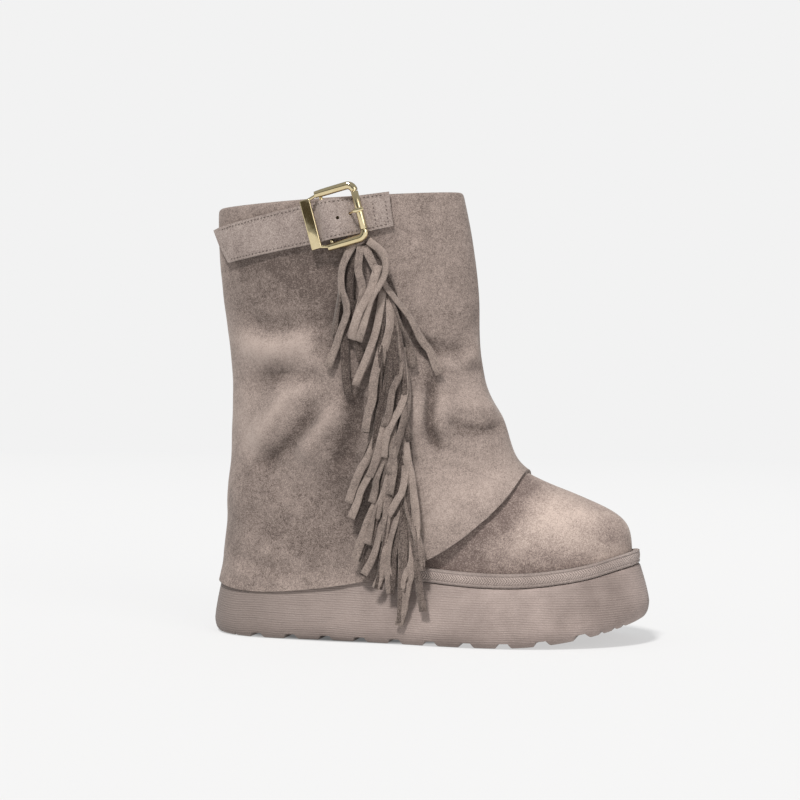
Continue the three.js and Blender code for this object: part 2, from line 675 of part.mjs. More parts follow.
function makeStrap(prong) {
  const tilt = Math.cos(degrees(STRAP_TILT));
  const start = (STRAP_BACK_X - BUCKLE_X) / tilt;
  const end = (STRAP_FRONT_X - BUCKLE_X) / tilt;
  const across = [-0.5, 0, 0.5];
  const skew = Math.tan(degrees(STRAP_SKEW)) * STRAP_BACK_WIDTH;
  const widthAt = (stop) =>
    stop < 0
      ? mix(STRAP_WIDTH, STRAP_BACK_WIDTH, stop / start)
      : mix(STRAP_WIDTH, STRAP_FRONT_WIDTH, stop / end);
  const run = (from, to, steps) => Array.from({ length: steps }, (_, i) => mix(from, to, i / steps));
  const stops = [
    ...run(start, -BUMP_BACK, STRAP_STEPS),
    ...run(-BUMP_BACK, BUMP_FRONT, 2 * STRAP_STEPS),
    ...run(BUMP_FRONT, end, STRAP_STEPS / 2),
    end,
  ];
  const rings = stops.map((stop) => {
    const lean = (share) => stop - share * skew * Math.max((stop + BUMP_BACK) / (start + BUMP_BACK), 0);
    const side = (out) => across.map((share) => strapPoint(lean(share), share * widthAt(stop), out));
    return [...side(0), ...side(STRAP_THICK).reverse()];
  });
  let strap = toSolid(endedSolid(rings));
  strap = strap.subtract(prong);
  const pierce = [-1, STRAP_THICK + 1].map((out) => strapPoint(HOLE_X - HOLE_SPACING, 0, out));
  return toGeometry(strap.subtract(tube(pierce, HOLE_RADIUS, 12, 1)));
}

// Rings joined along their row, with fans that close the first and the last.
function endedSolid(rings) {
  const count = rings[0].length;
  const positions = rings.flat().flatMap((p) => [p.x, p.y, p.z]);
  const index = [];
  for (let i = 0; i < rings.length - 1; i += 1) {
    for (let j = 0; j < count; j += 1) {
      const k = (j + 1) % count;
      const [low, high] = [i * count, (i + 1) * count];
      index.push(low + j, low + k, high + k, low + j, high + k, high + j);
    }
  }
  const last = (rings.length - 1) * count;
  for (let j = 0; j < count / 2 - 1; j += 1) {
    const [near, far] = [count - 1 - j, count - 2 - j];
    index.push(j, near, j + 1, j + 1, near, far);
    index.push(last + j, last + j + 1, last + near, last + j + 1, last + far, last + near);
  }
  const geometry = new THREE.BufferGeometry();
  geometry.setAttribute("position", new THREE.Float32BufferAttribute(positions, 3));
  geometry.setIndex(index);
  return geometry;
}

// Buckle, in its own frame: x along the strap from the centre bar, y across it, z out from the shaft

function buckleMatrix() {
  const { point } = above(BUCKLE_X, STRAP_MIDDLE, 0);
  const { normal } = above(BUCKLE_X + (FRAME_REACH + KEEPER_X) / 2, STRAP_MIDDLE, 0);
  const tilt = degrees(BUCKLE_TILT);
  const along = new THREE.Vector3(Math.cos(tilt), 0, Math.sin(tilt));
  along.addScaledVector(normal, -along.dot(normal)).normalize();
  const across = new THREE.Vector3().crossVectors(normal, along);
  return new THREE.Matrix4().makeBasis(along, across, normal).setPosition(point);
}

const bar = (from, to, radius) => tube([from, to], radius, 10, 1);
const spot = (x, y, z) => new THREE.Vector3(x, y, z);

function makeFrame() {
  const corner = FRAME_REACH - FRAME_CORNER;
  const high = FRAME_HALF - FRAME_CORNER;
  const turn = (1 - Math.SQRT1_2) * FRAME_CORNER;
  const arm = (side) =>
    tube(
      [
        spot(-FRAME_TUBE / 2, side * FRAME_HALF, FRAME_OUT),
        spot(corner / 2, side * FRAME_HALF, FRAME_OUT),
        spot(corner, side * FRAME_HALF, FRAME_OUT),
        spot(FRAME_REACH - turn, side * (FRAME_HALF - turn), FRAME_OUT),
        spot(FRAME_REACH, side * (high + CLEAR), FRAME_OUT),
        spot(FRAME_REACH, side * high, FRAME_OUT),
      ],
      FRAME_TUBE,
      10,
      9,
    );
  const keeper = new THREE.ExtrudeGeometry(
    new THREE.Shape([
      new THREE.Vector2(-KEEPER_WIDTH / 2 + KEEPER_BEVEL, -KEEPER_HALF + KEEPER_BEVEL),
      new THREE.Vector2(KEEPER_WIDTH / 2 - KEEPER_BEVEL, -KEEPER_HALF + KEEPER_BEVEL),
      new THREE.Vector2(KEEPER_WIDTH / 2 - KEEPER_BEVEL, KEEPER_HALF - KEEPER_BEVEL),
      new THREE.Vector2(-KEEPER_WIDTH / 2 + KEEPER_BEVEL, KEEPER_HALF - KEEPER_BEVEL),
    ]),
    {
      depth: KEEPER_THICK - 2 * KEEPER_BEVEL,
      bevelThickness: KEEPER_BEVEL,
      bevelSize: KEEPER_BEVEL,
      bevelSegments: 1,
    },
  );
  const keeperOut = FRAME_OUT - KEEPER_THICK / 2;
  keeper.translate(KEEPER_X, 0, keeperOut + KEEPER_BEVEL);
  const rodStart = (side) => spot(KEEPER_X, side * (KEEPER_HALF - ROD_INSET), FRAME_OUT);
  const rod = (side) => bar(rodStart(side), spot(0, side * FRAME_HALF, FRAME_OUT), ROD_RADIUS);
  const post = (side) =>
    bar(spot(0, side * FRAME_HALF, BAR_OUT - BAR_RADIUS), spot(0, side * FRAME_HALF, FRAME_OUT), BAR_RADIUS);
  const reach = FRAME_HALF + BAR_RADIUS;
  return [
    arm(-1),
    arm(1),
    toSolid(keeper),
    rod(-1),
    rod(1),
    post(-1),
    post(1),
    bar(spot(0, -reach, BAR_OUT), spot(0, -NECK_HALF, BAR_OUT), BAR_RADIUS),
    bar(spot(0, NECK_HALF, BAR_OUT), spot(0, reach, BAR_OUT), BAR_RADIUS),
    bar(spot(0, -NECK_HALF - 1, BAR_OUT), spot(0, NECK_HALF + 1, BAR_OUT), BAR_NECK),
    bar(spot(FRAME_REACH, -high - 1, FRAME_OUT), spot(FRAME_REACH, high + 1, FRAME_OUT), PIN_RADIUS),
  ].reduce((whole, piece) => whole.add(piece));
}

function makeRoller() {
  const inner = PIN_RADIUS + CLEAR;
  const profile = [
    new THREE.Vector2(inner, -ROLLER_HALF),
    new THREE.Vector2(ROLLER_RADIUS, -ROLLER_HALF),
    new THREE.Vector2(ROLLER_RADIUS, ROLLER_HALF),
    new THREE.Vector2(inner, ROLLER_HALF),
    new THREE.Vector2(inner, -ROLLER_HALF),
  ];
  const roller = new THREE.LatheGeometry(profile, 16);
  roller.translate(FRAME_REACH, 0, FRAME_OUT);
  return roller;
}

// The prong's ring on the bar, and its tongue under the strap, through the hole and over the roller.
function makeProng(grow) {
  const radius = PRONG_RADIUS + grow;
  const over = FRAME_OUT + ROLLER_RADIUS + CLEAR + PRONG_RADIUS;
  const low = CLEAR + PRONG_RADIUS;
  const tongue = tube(
    [
      spot(0, 0, low),
      spot(HOLE_X / 2, 0, low),
      spot(HOLE_X - PRONG_BEND, 0, low + PRONG_CLEAR),
      spot(HOLE_X, 0, mix(low, over, 0.5)),
      spot(FRAME_REACH - ROLLER_RADIUS, 0, over - PRONG_CLEAR),
      spot(FRAME_REACH + PRONG_OVER, 0, over),
    ],
    radius,
    8,
    15,
  );
  const hoop = new THREE.TorusGeometry(RING_RADIUS, radius, 6, 12);
  hoop.rotateX(Math.PI / 2);
  hoop.translate(0, 0, BAR_OUT);
  return tongue.add(toSolid(hoop));
}

// Fringe

// Middle of the band: shares of the sole's length, and of the height from the hem's low line to the collar.
const BAND_ROWS = [
  { down: 0, at: 0.386, up: 0.868 },
  { down: 0.1, at: 0.412, up: 0.815 },
  { down: 0.2, at: 0.437, up: 0.765 },
  { down: 0.3, at: 0.455, up: 0.705 },
  { down: 0.6, at: 0.478, up: 0.48 },
  { down: 0.8, at: 0.489, up: 0.35 },
  { down: 0.92, at: 0.493, up: 0.265 },
  { down: 1, at: 0.508, up: 0.215 },
];

// Strips: where each starts down the band, its tip along the sole and up, its bow and its turn.
// tip and low are shares as in the band's rows, bow is in strip widths, and turn in degrees.
const STRIP_ROWS = [
  { down: 0.02, tip: 0.323, low: 0.58, bow: 1.2, turn: 25 },
  { down: 0.03, tip: 0.371, low: 0.633, bow: 1.5, turn: -30 },
  { down: 0.05, tip: 0.392, low: 0.621, bow: 1, turn: 40 },
  { down: 0.1, tip: 0.433, low: 0.567, bow: 0.9, turn: -45 },
  { down: 0.12, tip: 0.496, low: 0.56, bow: 1, turn: 20 },
  { down: 0.14, tip: 0.552, low: 0.541, bow: 1.1, turn: -35 },
  { down: 0.2, tip: 0.408, low: 0.399, bow: 1, turn: 30 },
  { down: 0.26, tip: 0.446, low: 0.416, bow: 0.9, turn: 50 },
  { down: 0.3, tip: 0.447, low: 0.346, bow: 1.3, turn: -15 },
  { down: 0.33, tip: 0.503, low: 0.38, bow: 0.8, turn: 35 },
  { down: 0.37, tip: 0.415, low: 0.299, bow: 1.2, turn: -40 },
  { down: 0.41, tip: 0.397, low: 0.272, bow: 1, turn: 20 },
  { down: 0.47, tip: 0.46, low: 0.249, bow: 0.9, turn: 45 },
  { down: 0.5, tip: 0.365, low: 0.23, bow: 1.1, turn: -30 },
  { down: 0.56, tip: 0.431, low: 0.19, bow: 0.8, turn: -50 },
  { down: 0.59, tip: 0.46, low: 0.201, bow: 1.2, turn: 15 },
  { down: 0.63, tip: 0.447, low: 0.132, bow: 1, turn: -35 },
  { down: 0.69, tip: 0.381, low: 0.086, bow: 1.1, turn: -20 },
  { down: 0.72, tip: 0.516, low: 0.091, bow: 0.9, turn: 40 },
  { down: 0.78, tip: 0.534, low: 0.069, bow: 1, turn: 20 },
  { down: 0.81, tip: 0.431, low: 0.02, bow: 1.4, turn: -45 },
  { down: 0.84, tip: 0.465, low: 0.009, bow: 1, turn: 35 },
  { down: 0.87, tip: 0.499, low: 0.02, bow: 1.2, turn: -15 },
  { down: 0.9, tip: 0.537, low: -0.003, bow: 0.9, turn: 25 },
  { down: 0.94, tip: 0.487, low: -0.06, bow: 1.1, turn: -35 },
  { down: 0.98, tip: 0.543, low: -0.029, bow: 1.3, turn: 50 },
];

const heightAt = (share) => mix(HEM_HEIGHT, COLLAR_FRONT, share);

function bandPlace(down) {
  const x = alongSole(read(BAND_ROWS, "down", "at", down));
  return { x, z: heightAt(read(BAND_ROWS, "down", "up", down)) };
}

// A flat section across a run, turned about it, as a ring of four corners.
function flatSection(middle, run, normal, width, thick, turn) {
  const side = new THREE.Vector3().crossVectors(run, normal).normalize();
  const out = new THREE.Vector3().crossVectors(run, side).normalize();
  side.applyAxisAngle(run.clone().normalize(), turn);
  out.applyAxisAngle(run.clone().normalize(), turn);
  return [
    [-1, -1],
    [1, -1],
    [1, 1],
    [-1, 1],
  ].map(([s, t]) =>
    middle
      .clone()
      .addScaledVector(side, (s * width) / 2)
      .addScaledVector(out, (t * thick) / 2),
  );
}

// A point in front of the outer side, also under the hem, where it stays clear of the sole's wall.
function hangPoint(x, z, out) {
  const low = hemAt(x) + STRIP_HOLD;
  const { point, normal } = above(x, Math.max(z, low), out);
  if (z >= low) return { point, normal };
  point.z = z;
  const edge = soleSide(x) - CLEAR - STRIP_WIDTH / 2;
  const share = Math.min((low - z) / RAND_HEIGHT, 1);
  point.y = Math.min(point.y, mix(point.y, edge, share));
  return { point, normal };
}

// The y of the sole's widest line on the outer side.
function soleSide(x) {
  return outlinePoint(Math.acos(1 - 2 * Math.min(Math.max(soleShare(x), 0), 1))).y;
}

function runSections(places, width, thick, turns) {
  return places.map(({ point, normal }, i) => {
    const before = places[Math.max(i - 1, 0)].point;
    const after = places[Math.min(i + 1, places.length - 1)].point;
    return flatSection(point, after.clone().sub(before), normal, width, thick, turns[i]);
  });
}

function makeStrip(row) {
  const from = bandPlace(row.down);
  const tip = { x: alongSole(row.tip), z: heightAt(row.low) };
  const base = BAND_SEAT + BAND_THICK / 2;
  const places = [];
  const turns = [];
  for (let i = 0; i <= STRIP_STEPS; i += 1) {
    const t = i / STRIP_STEPS;
    const swing = mix(t * t, t * (2 - t), STRIP_LEAD);
    const bow = row.bow * BOW_RISE * Math.sin(t * BOW_SPAN * Math.PI);
    const out = base + (bow + t * TIP_OUT) * STRIP_WIDTH;
    places.push(hangPoint(mix(from.x, tip.x, swing), mix(from.z, tip.z, t), out));
    turns.push(degrees(row.turn) * Math.min(t * 2, 1));
  }
  return toSolid(endedSolid(runSections(places, STRIP_WIDTH, STRIP_THICK, turns)));
}

function makeFringe() {
  const places = [];
  for (let i = 0; i <= BAND_STEPS; i += 1) {
    const { x, z } = bandPlace(i / BAND_STEPS);
    places.push(above(x, z, BAND_SEAT + BAND_THICK / 2));
  }
  const flat = places.map(() => 0);
  const band = toSolid(endedSolid(runSections(places, BAND_WIDTH, BAND_THICK, flat)));
  return toGeometry(fillPockets(STRIP_ROWS.reduce((whole, row) => whole.add(makeStrip(row)), band)));
}

// Crossing strips can close a small pocket between them, which has no way in.
function fillPockets(solid) {
  const shells = solid.decompose().filter((shell) => shell.volume() > 0);
  return shells.reduce((whole, shell) => whole.add(shell));
}

// Materials
const suede = new THREE.MeshStandardMaterial({ color: 0x958779, roughness: 0.95, metalness: 0 });
const paleSuede = new THREE.MeshStandardMaterial({ color: 0xb7a597, roughness: 0.95, metalness: 0 });
const fringeSuede = new THREE.MeshStandardMaterial({ color: 0x8f8074, roughness: 0.95, metalness: 0 });
const foam = new THREE.MeshStandardMaterial({ color: 0x98887e, roughness: 0.8, metalness: 0 });
const woven = new THREE.MeshStandardMaterial({ color: 0x93837a, roughness: 0.85, metalness: 0 });
const lining = new THREE.MeshStandardMaterial({ color: 0xa89a8c, roughness: 1, metalness: 0 });
const gold = new THREE.MeshStandardMaterial({ color: 0xd8c08a, roughness: 0.2, metalness: 1 });

// Assembly
const boot = new THREE.Group();
boot.add(namedMesh("platform_sole", makeSole(), foam));
boot.add(namedMesh("insole", makeInsole(), lining));
boot.add(namedMesh("rand", makeRand(), woven));
boot.add(namedMesh("upper", makeUpper(), paleSuede));
boot.add(namedMesh("fold_over_shaft", makeFoldOverShaft(), suede));

const place = buckleMatrix();
const placed = (solid) => toGeometry(solid).applyMatrix4(place);
const prongCut = toSolid(placed(makeProng(CUT_CLEAR)));
boot.add(namedMesh("strap", makeStrap(prongCut), suede));
boot.add(namedMesh("buckle_frame", placed(makeFrame()), gold));
boot.add(namedMesh("buckle_roller", makeRoller().applyMatrix4(place), gold));
boot.add(namedMesh("buckle_prong", placed(makeProng(0)), gold));
boot.add(namedMesh("fringe", makeFringe(), fringeSuede));

export default boot;
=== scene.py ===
import json
import math
import random

import bmesh
import bpy
from mathutils import Matrix, Vector, noise
from mathutils.bvhtree import BVHTree

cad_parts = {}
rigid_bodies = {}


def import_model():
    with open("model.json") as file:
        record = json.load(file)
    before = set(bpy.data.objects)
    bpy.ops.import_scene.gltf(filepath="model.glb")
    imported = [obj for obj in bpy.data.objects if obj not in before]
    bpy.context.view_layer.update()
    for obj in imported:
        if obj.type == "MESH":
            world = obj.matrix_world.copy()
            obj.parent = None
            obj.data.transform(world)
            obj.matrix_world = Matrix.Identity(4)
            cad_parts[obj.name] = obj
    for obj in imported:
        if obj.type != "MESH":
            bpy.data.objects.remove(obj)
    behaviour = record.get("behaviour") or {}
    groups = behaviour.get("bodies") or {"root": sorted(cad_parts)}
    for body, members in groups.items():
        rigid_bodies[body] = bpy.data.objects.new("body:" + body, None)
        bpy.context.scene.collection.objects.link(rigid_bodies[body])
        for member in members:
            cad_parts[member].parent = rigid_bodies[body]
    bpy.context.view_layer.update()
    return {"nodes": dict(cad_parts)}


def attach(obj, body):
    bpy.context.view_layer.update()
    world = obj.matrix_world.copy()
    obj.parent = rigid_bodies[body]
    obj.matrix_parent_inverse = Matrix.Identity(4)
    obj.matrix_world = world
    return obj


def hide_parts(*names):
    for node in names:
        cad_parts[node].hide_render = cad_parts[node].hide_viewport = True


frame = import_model()
nodes = frame["nodes"]
view_settings = bpy.context.scene.view_settings
view_settings.view_transform = "Standard"
view_settings.look = "None"


# Camera: a long lens a little above the floor, 15 degrees round from the outer side towards the toe.
camera_data = bpy.data.cameras.new("camera")
camera_data.lens = 85
camera_data.sensor_width = 36
camera = bpy.data.objects.new("camera", camera_data)
bpy.context.collection.objects.link(camera)
camera.location = (0.3982, -1.2074, 0.183)
aim = Vector((0.0747, 0, 0.1552)) - camera.location
camera.rotation_euler = aim.to_track_quat("-Z", "Y").to_euler()
bpy.context.scene.camera = camera


# Floor and light: a plain pale studio floor that runs off into a white room, lit by one soft sun high
# in front and on the left, a weaker one on the right, and an even light from all round.
def new_material(name):
    material = bpy.data.materials.new(name)
    material.use_nodes = True
    shader = material.node_tree.nodes["Principled BSDF"]
    return material, material.node_tree, shader


class Wiring:
    """Short ways to add nodes to a material's or a group's tree and to join them."""

    def __init__(self, tree):
        self.tree = tree

    def add(self, kind, **values):
        node = self.tree.nodes.new(kind)
        for key, value in values.items():
            setattr(node, key, value)
        return node

    def join(self, source, target):
        self.tree.links.new(source, target)

    def give(self, value, socket):
        """A value, a colour or another node's output for a socket."""
        if isinstance(value, bpy.types.NodeSocket):
            self.join(value, socket)
        else:
            socket.default_value = value

    def place(self):
        return self.add("ShaderNodeTexCoord").outputs["Object"]

    def apart(self, vector):
        step = self.add("ShaderNodeSeparateXYZ")
        self.join(vector, step.inputs["Vector"])
        return step.outputs

    def noise(self, vector, scale, detail=3.0, roughness=0.55, distortion=0.0):
        texture = self.add("ShaderNodeTexNoise")
        self.join(vector, texture.inputs["Vector"])
        settings = (("Scale", scale), ("Detail", detail), ("Roughness", roughness),
                    ("Distortion", distortion))
        for name, value in settings:
            self.give(value, texture.inputs[name])
        return texture.outputs["Fac"]

    def span(self, value, from_low, from_high, to_low, to_high):
        step = self.add("ShaderNodeMapRange")
        ends = (("From Min", from_low), ("From Max", from_high), ("To Min", to_low), ("To Max", to_high))
        for name, end in (("Value", value), *ends):
            self.give(end, step.inputs[name])
        return step.outputs["Result"]

    def math(self, operation, a, b=0.0):
        step = self.add("ShaderNodeMath", operation=operation)
        self.give(a, step.inputs[0])
        self.give(b, step.inputs[1])
        return step.outputs["Value"]

    def blend(self, factor, a, b):
        step = self.add("ShaderNodeMix", data_type="RGBA")
        for socket, value in ((step.inputs[0], factor), (step.inputs[6], a), (step.inputs[7], b)):
            self.give(value, socket)
        return step.outputs[2]

    def bump(self, height, shader, strength, distance):
        step = self.add("ShaderNodeBump")
        step.inputs["Strength"].default_value = strength
        step.inputs["Distance"].default_value = distance
        self.join(height, step.inputs["Height"])
        self.join(step.outputs["Normal"], shader.inputs["Normal"])


floor_material, floor_tree, floor_shader = new_material("studio_floor")
wire = Wiring(floor_tree)
apart = wire.apart(wire.place())
# the paper glows evenly far off and takes a faint real shadow near the boot; under its sole a painted shadow
# darkens it
side_run = wire.math("MULTIPLY", apart["Y"], 23.0)


def oval(middle, per_metre):
    """How far a place of the floor lies from an oval's middle, squared, with 1 on its edge."""
    run = wire.math("MULTIPLY", wire.math("SUBTRACT", apart["X"], middle), per_metre)
    return wire.math("ADD", wire.math("MULTIPLY", run, run), wire.math("MULTIPLY", side_run, side_run))


# painted shadow: an oval under the sole where the paper's colour and its glow are darkened
under = wire.span(oval(0.05, 10.6), 0.75, 1.2, 0.74, 0)
far = wire.span(oval(0.093, 7.4), 80.0, 2600.0, 0, 1)
paper = wire.math("MULTIPLY", wire.math("SUBTRACT", 1.0, far), 0.34)
albedo_with_painted_shadow = wire.math("MULTIPLY", paper, wire.math("SUBTRACT", 1.0, under))
wire.join(albedo_with_painted_shadow, floor_shader.inputs["Base Color"])
glow = wire.math("ADD", 0.51, wire.math("MULTIPLY", far, 0.378))
glow_with_painted_shadow = wire.math("MULTIPLY", glow, wire.math("SUBTRACT", 1.0, under))
wire.join(glow_with_painted_shadow, floor_shader.inputs["Emission Strength"])
floor_shader.inputs["Emission Color"].default_value = (1, 1, 1, 1)
floor_shader.inputs["Roughness"].default_value = 1.0
floor_shader.inputs["Specular IOR Level"].default_value = 0.0
bpy.ops.object.select_all(action="DESELECT")
bpy.ops.mesh.primitive_plane_add(size=400)
floor = bpy.context.object
floor.name = "studio_floor"
floor.data.materials.append(floor_material)

world = bpy.data.worlds.new("studio")
bpy.context.scene.world = world
world.use_nodes = True
room = world.node_tree.nodes["Background"]
room.inputs["Color"].default_value = (0.93, 0.95, 0.97, 1)
room.inputs["Strength"].default_value = 0.4
wire = Wiring(world.node_tree)
seen_room = wire.add("ShaderNodeBackground")
seen_room.inputs["Color"].default_value = (0.888, 0.888, 0.888, 1)
choose = wire.add("ShaderNodeMixShader")
wire.join(wire.add("ShaderNodeLightPath").outputs["Is Camera Ray"], choose.inputs[0])
wire.join(room.outputs[0], choose.inputs[1])
wire.join(seen_room.outputs[0], choose.inputs[2])
wire.join(choose.outputs[0], world.node_tree.nodes["World Output"].inputs["Surface"])


def add_sun(name, direction, power, spread, colour):
    data = bpy.data.lights.new(name, "SUN")
    data.energy = power
    data.angle = math.radians(spread)
    data.color = colour
    lamp = bpy.data.objects.new(name, data)
    bpy.context.collection.objects.link(lamp)
    lamp.rotation_euler = (-Vector(direction)).to_track_quat("-Z", "Y").to_euler()


add_sun("key_sun", (-0.12, -0.6, 1.0), 2.9, 10, (1, 0.985, 0.97))
add_sun("fill_sun", (1.0, -0.8, 0.35), 0.75, 40, (1, 0.98, 0.97))


bpy.ops.object.select_all(action="DESELECT")
bpy.ops.mesh.primitive_plane_add(size=1, location=(-0.5, -1.75, 0.62), rotation=(math.radians(90), 0, 0))
flag = bpy.context.object
flag.name = "dark_card"
flag.scale = (1.3, 0.5, 1)
bpy.ops.object.transform_apply(location=True, rotation=True, scale=True)
flag.visible_camera = False
flag_material, _, flag_shader = new_material("dark_card")
flag_shader.inputs["Base Color"].default_value = (0.13, 0.115, 0.085, 1)
flag_shader.inputs["Specular IOR Level"].default_value = 0.0
flag.data.materials.append(flag_material)


# Platform sole: one thick unit of moulded foam, the same colour as the boot. Its side leans out to the
# floor and carries fine level lines, and its tread is a row of square lugs with open grooves across.
SOLE_LENGTH = 0.292
HEEL_SETBACK = 0.053
BALL_WIDTH = 0.110
TOE_SWING = 0.005
HEEL_HEIGHT = 0.047
BALL_HEIGHT = 0.0375
TOE_HEIGHT = 0.0525
TOE_SPRING = 0.0175
SPRING_START = 0.67
SPRING_POWER = 2.2
HEEL_FLARE = 0.008
TOE_FLARE = 0.0062
FLARE_POWER = 1.3
EDGE_ROUND = 0.005
EDGE_HEIGHT = 0.009
TOP_LIP = 0.001
LUG_PITCH = 0.0238
GROOVE_MOUTH = 0.0108
GROOVE_ROOF = 0.0065
GROOVE_DEPTH = 0.0034
LAST_GROOVE = 0.89
ROUND = 160  # points round the outline
SOLE_OUTLINE = [
    # share of the length, fullness of the outer side, of the inner side
    (0.00, 1.36, 1.36), (0.04, 1.32, 1.30), (0.16, 1.08, 1.06), (0.28, 0.90, 0.86), (0.42, 0.88, 0.74),
    (0.55, 0.965, 0.85), (0.65, 1.045, 1.00), (0.75, 1.11, 1.13), (0.85, 1.17, 1.26), (0.93, 1.24, 1.38),
    (1.00, 1.32, 1.46),
]
SOLE_TOP = [
    # share of the length, share of the heel's rise, of the toe's
    (0.00, 1, 0), (0.20, 0.95, 0), (0.38, 0.66, 0), (0.526, 0.26, 0), (0.65, 0, 0), (0.75, 0, 0.01),
    (0.84, 0, 0.21), (0.894, 0, 0.42), (0.935, 0, 0.66), (1.00, 0, 1),
]


def mix(a, b, share):
    return a + (b - a) * share


def clamp(value, low=0.0, high=1.0):
    return min(max(value, low), high)


def smooth(value):
    value = clamp(value)
    return value * value * (3 - 2 * value)


def read(rows, share, column):
    """A column of a table at a share, along a smooth curve through its rows."""
    last = len(rows) - 1
    if share <= rows[0][0]:
        return rows[0][column]
    if share >= rows[last][0]:
        return rows[last][column]
    i = 0
    while rows[i + 1][0] < share:
        i += 1

    def slope(k):
        before, after = rows[max(k - 1, 0)], rows[min(k + 1, last)]
        return (after[column] - before[column]) / (after[0] - before[0])

    a, b = rows[i], rows[i + 1]
    width = b[0] - a[0]
    t = (share - a[0]) / width
    ease = t * t * (3 - 2 * t)
    lead = t * (1 - t) ** 2 * width * slope(i)
    tail = t * t * (1 - t) * width * slope(i + 1)
    return a[column] + (b[column] - a[column]) * ease + lead - tail


def along_sole(share):
    return share * SOLE_LENGTH - HEEL_SETBACK


def sole_share(x):
    return (x + HEEL_SETBACK) / SOLE_LENGTH


def sole_top(x):
    heel = read(SOLE_TOP, sole_share(x), 1) * (HEEL_HEIGHT - BALL_HEIGHT)
    toe = read(SOLE_TOP, sole_share(x), 2) * (TOE_HEIGHT - BALL_HEIGHT)
    return BALL_HEIGHT + heel + toe


def sole_bottom(x):
    past = (sole_share(x) - SPRING_START) / (1 - SPRING_START)
    return TOE_SPRING * past ** SPRING_POWER if past > 0 else 0


def outline_point(angle):
    share = (1 - math.cos(angle)) / 2
    side = math.sin(angle)
    fullness = read(SOLE_OUTLINE, share, 1 if side > 0 else 2)
    return Vector((along_sole(share), TOE_SWING * share * share - side * fullness * BALL_WIDTH / 2))


def sole_outline(angle, inset):
    ahead = (outline_point(angle + 0.02) - outline_point(angle - 0.02)).normalized()
    return outline_point(angle) + Vector((-ahead.y, ahead.x)) * inset


def flare_at(angle):
    return mix(HEEL_FLARE, TOE_FLARE, (1 - math.cos(angle)) / 2)


def sole_ring(inset, height):
    """Points round the sole, moved in by inset(angle, x), at height(x)."""
    ring = []
    for i in range(ROUND):
        angle = math.tau * i / ROUND
        place = sole_outline(angle, inset(angle, along_sole((1 - math.cos(angle)) / 2)))
        ring.append(Vector((place.x, place.y, height(place.x))))
    return ring


def side_height(share):
    """The height of the side at a share of the way from the rounded edge to the top."""
    return lambda x: mix(sole_bottom(x) + EDGE_HEIGHT, sole_top(x), share)


def raise_rings(name, rings):
    """A circle of points set on the first ring, and extruded from ring to ring."""
    bpy.ops.object.select_all(action="DESELECT")
    bpy.ops.mesh.primitive_circle_add(vertices=len(rings[0]), fill_type="NGON")
    piece = bpy.context.object
    piece.name = piece.data.name = name
    bpy.ops.object.mode_set(mode="EDIT")
    bpy.ops.mesh.select_mode(type="VERT")
    bpy.ops.mesh.select_all(action="SELECT")
    for step, ring in enumerate(rings):
        if step:
            bpy.ops.mesh.extrude_region_move()
        grid = bmesh.from_edit_mesh(piece.data)
        grid.verts.ensure_lookup_table()
        moved = [v for v in grid.verts if v.select]
        moved.sort(key=lambda v: v.index)
        for vertex, place in zip(moved, ring):
            vertex.co = place
        bmesh.update_edit_mesh(piece.data)
    bpy.ops.mesh.select_all(action="SELECT")
    bpy.ops.mesh.normals_make_consistent(inside=False)
    bpy.ops.object.mode_set(mode="OBJECT")
    return piece


def select_only(piece):
    bpy.ops.object.select_all(action="DESELECT")
    piece.select_set(True)
    bpy.context.view_layer.objects.active = piece


def face_outwards(piece):
    select_only(piece)
    bpy.ops.object.mode_set(mode="EDIT")
    bpy.ops.mesh.select_all(action="SELECT")
    bpy.ops.mesh.normals_make_consistent(inside=False)
    bpy.ops.object.mode_set(mode="OBJECT")


def apply_modifiers(piece):
    select_only(piece)
    for modifier in list(piece.modifiers):
        bpy.ops.object.modifier_apply(modifier=modifier.name)


def cut_groove(x):
    """A bar with the groove's section, across the sole at x, along the slope of the tread there."""
    bpy.ops.object.select_all(action="DESELECT")
    bpy.ops.mesh.primitive_cube_add(size=1)
    bar = bpy.context.object
    spread = (GROOVE_MOUTH - GROOVE_ROOF) / GROOVE_DEPTH
    slope = math.atan2(sole_bottom(x + 0.001) - sole_bottom(x - 0.001), 0.002)
    for vertex in bar.data.vertices:
        up = vertex.co.z > 0
        width = GROOVE_ROOF if up else GROOVE_MOUTH + GROOVE_DEPTH * spread
        flat = Vector((vertex.co.x * width, 0, GROOVE_DEPTH if up else -GROOVE_DEPTH))
        turned = Matrix.Rotation(-slope, 3, "Y") @ flat
        vertex.co = (x + turned.x, vertex.co.y * 2 * BALL_WIDTH, sole_bottom(x) + turned.z)
    return bar


edge_rings = [
    sole_ring(lambda angle, x, inwards=inwards: inwards * EDGE_ROUND,
              lambda x, up=up: sole_bottom(x) + up * EDGE_HEIGHT)
    for inwards, up in ((1, 0), (0.62, 0.06), (0.42, 0.16), (0.22, 0.32), (0.12, 0.48), (0.03, 0.75), (0, 1))
]
side_rings = [
    sole_ring(lambda angle, x, share=share: flare_at(angle) * share ** FLARE_POWER, side_height(share))
    for share in (0.15, 0.35, 0.5, 0.7, 0.85, 0.96)
]
lip_rings = [
    sole_ring(lambda angle, x: flare_at(angle) + 0.45 * TOP_LIP, side_height(0.992)),
    sole_ring(lambda angle, x: flare_at(angle) + TOP_LIP, sole_top),
    sole_ring(lambda angle, x: flare_at(angle) + 6 * TOP_LIP, sole_top),
]
sole = raise_rings("sole_unit", edge_rings + side_rings + lip_rings)
groove_places = [-LUG_PITCH / 2]
while groove_places[-1] + LUG_PITCH < along_sole(LAST_GROOVE):
    groove_places.append(groove_places[-1] + LUG_PITCH)
cutters = [cut_groove(x) for x in groove_places]
NOTCHES = [(-0.0412, 0.0045), (-0.0284, 0.005), (0.2139, 0.0055), (0.2212, 0.005), (0.2262, 0.0045)]


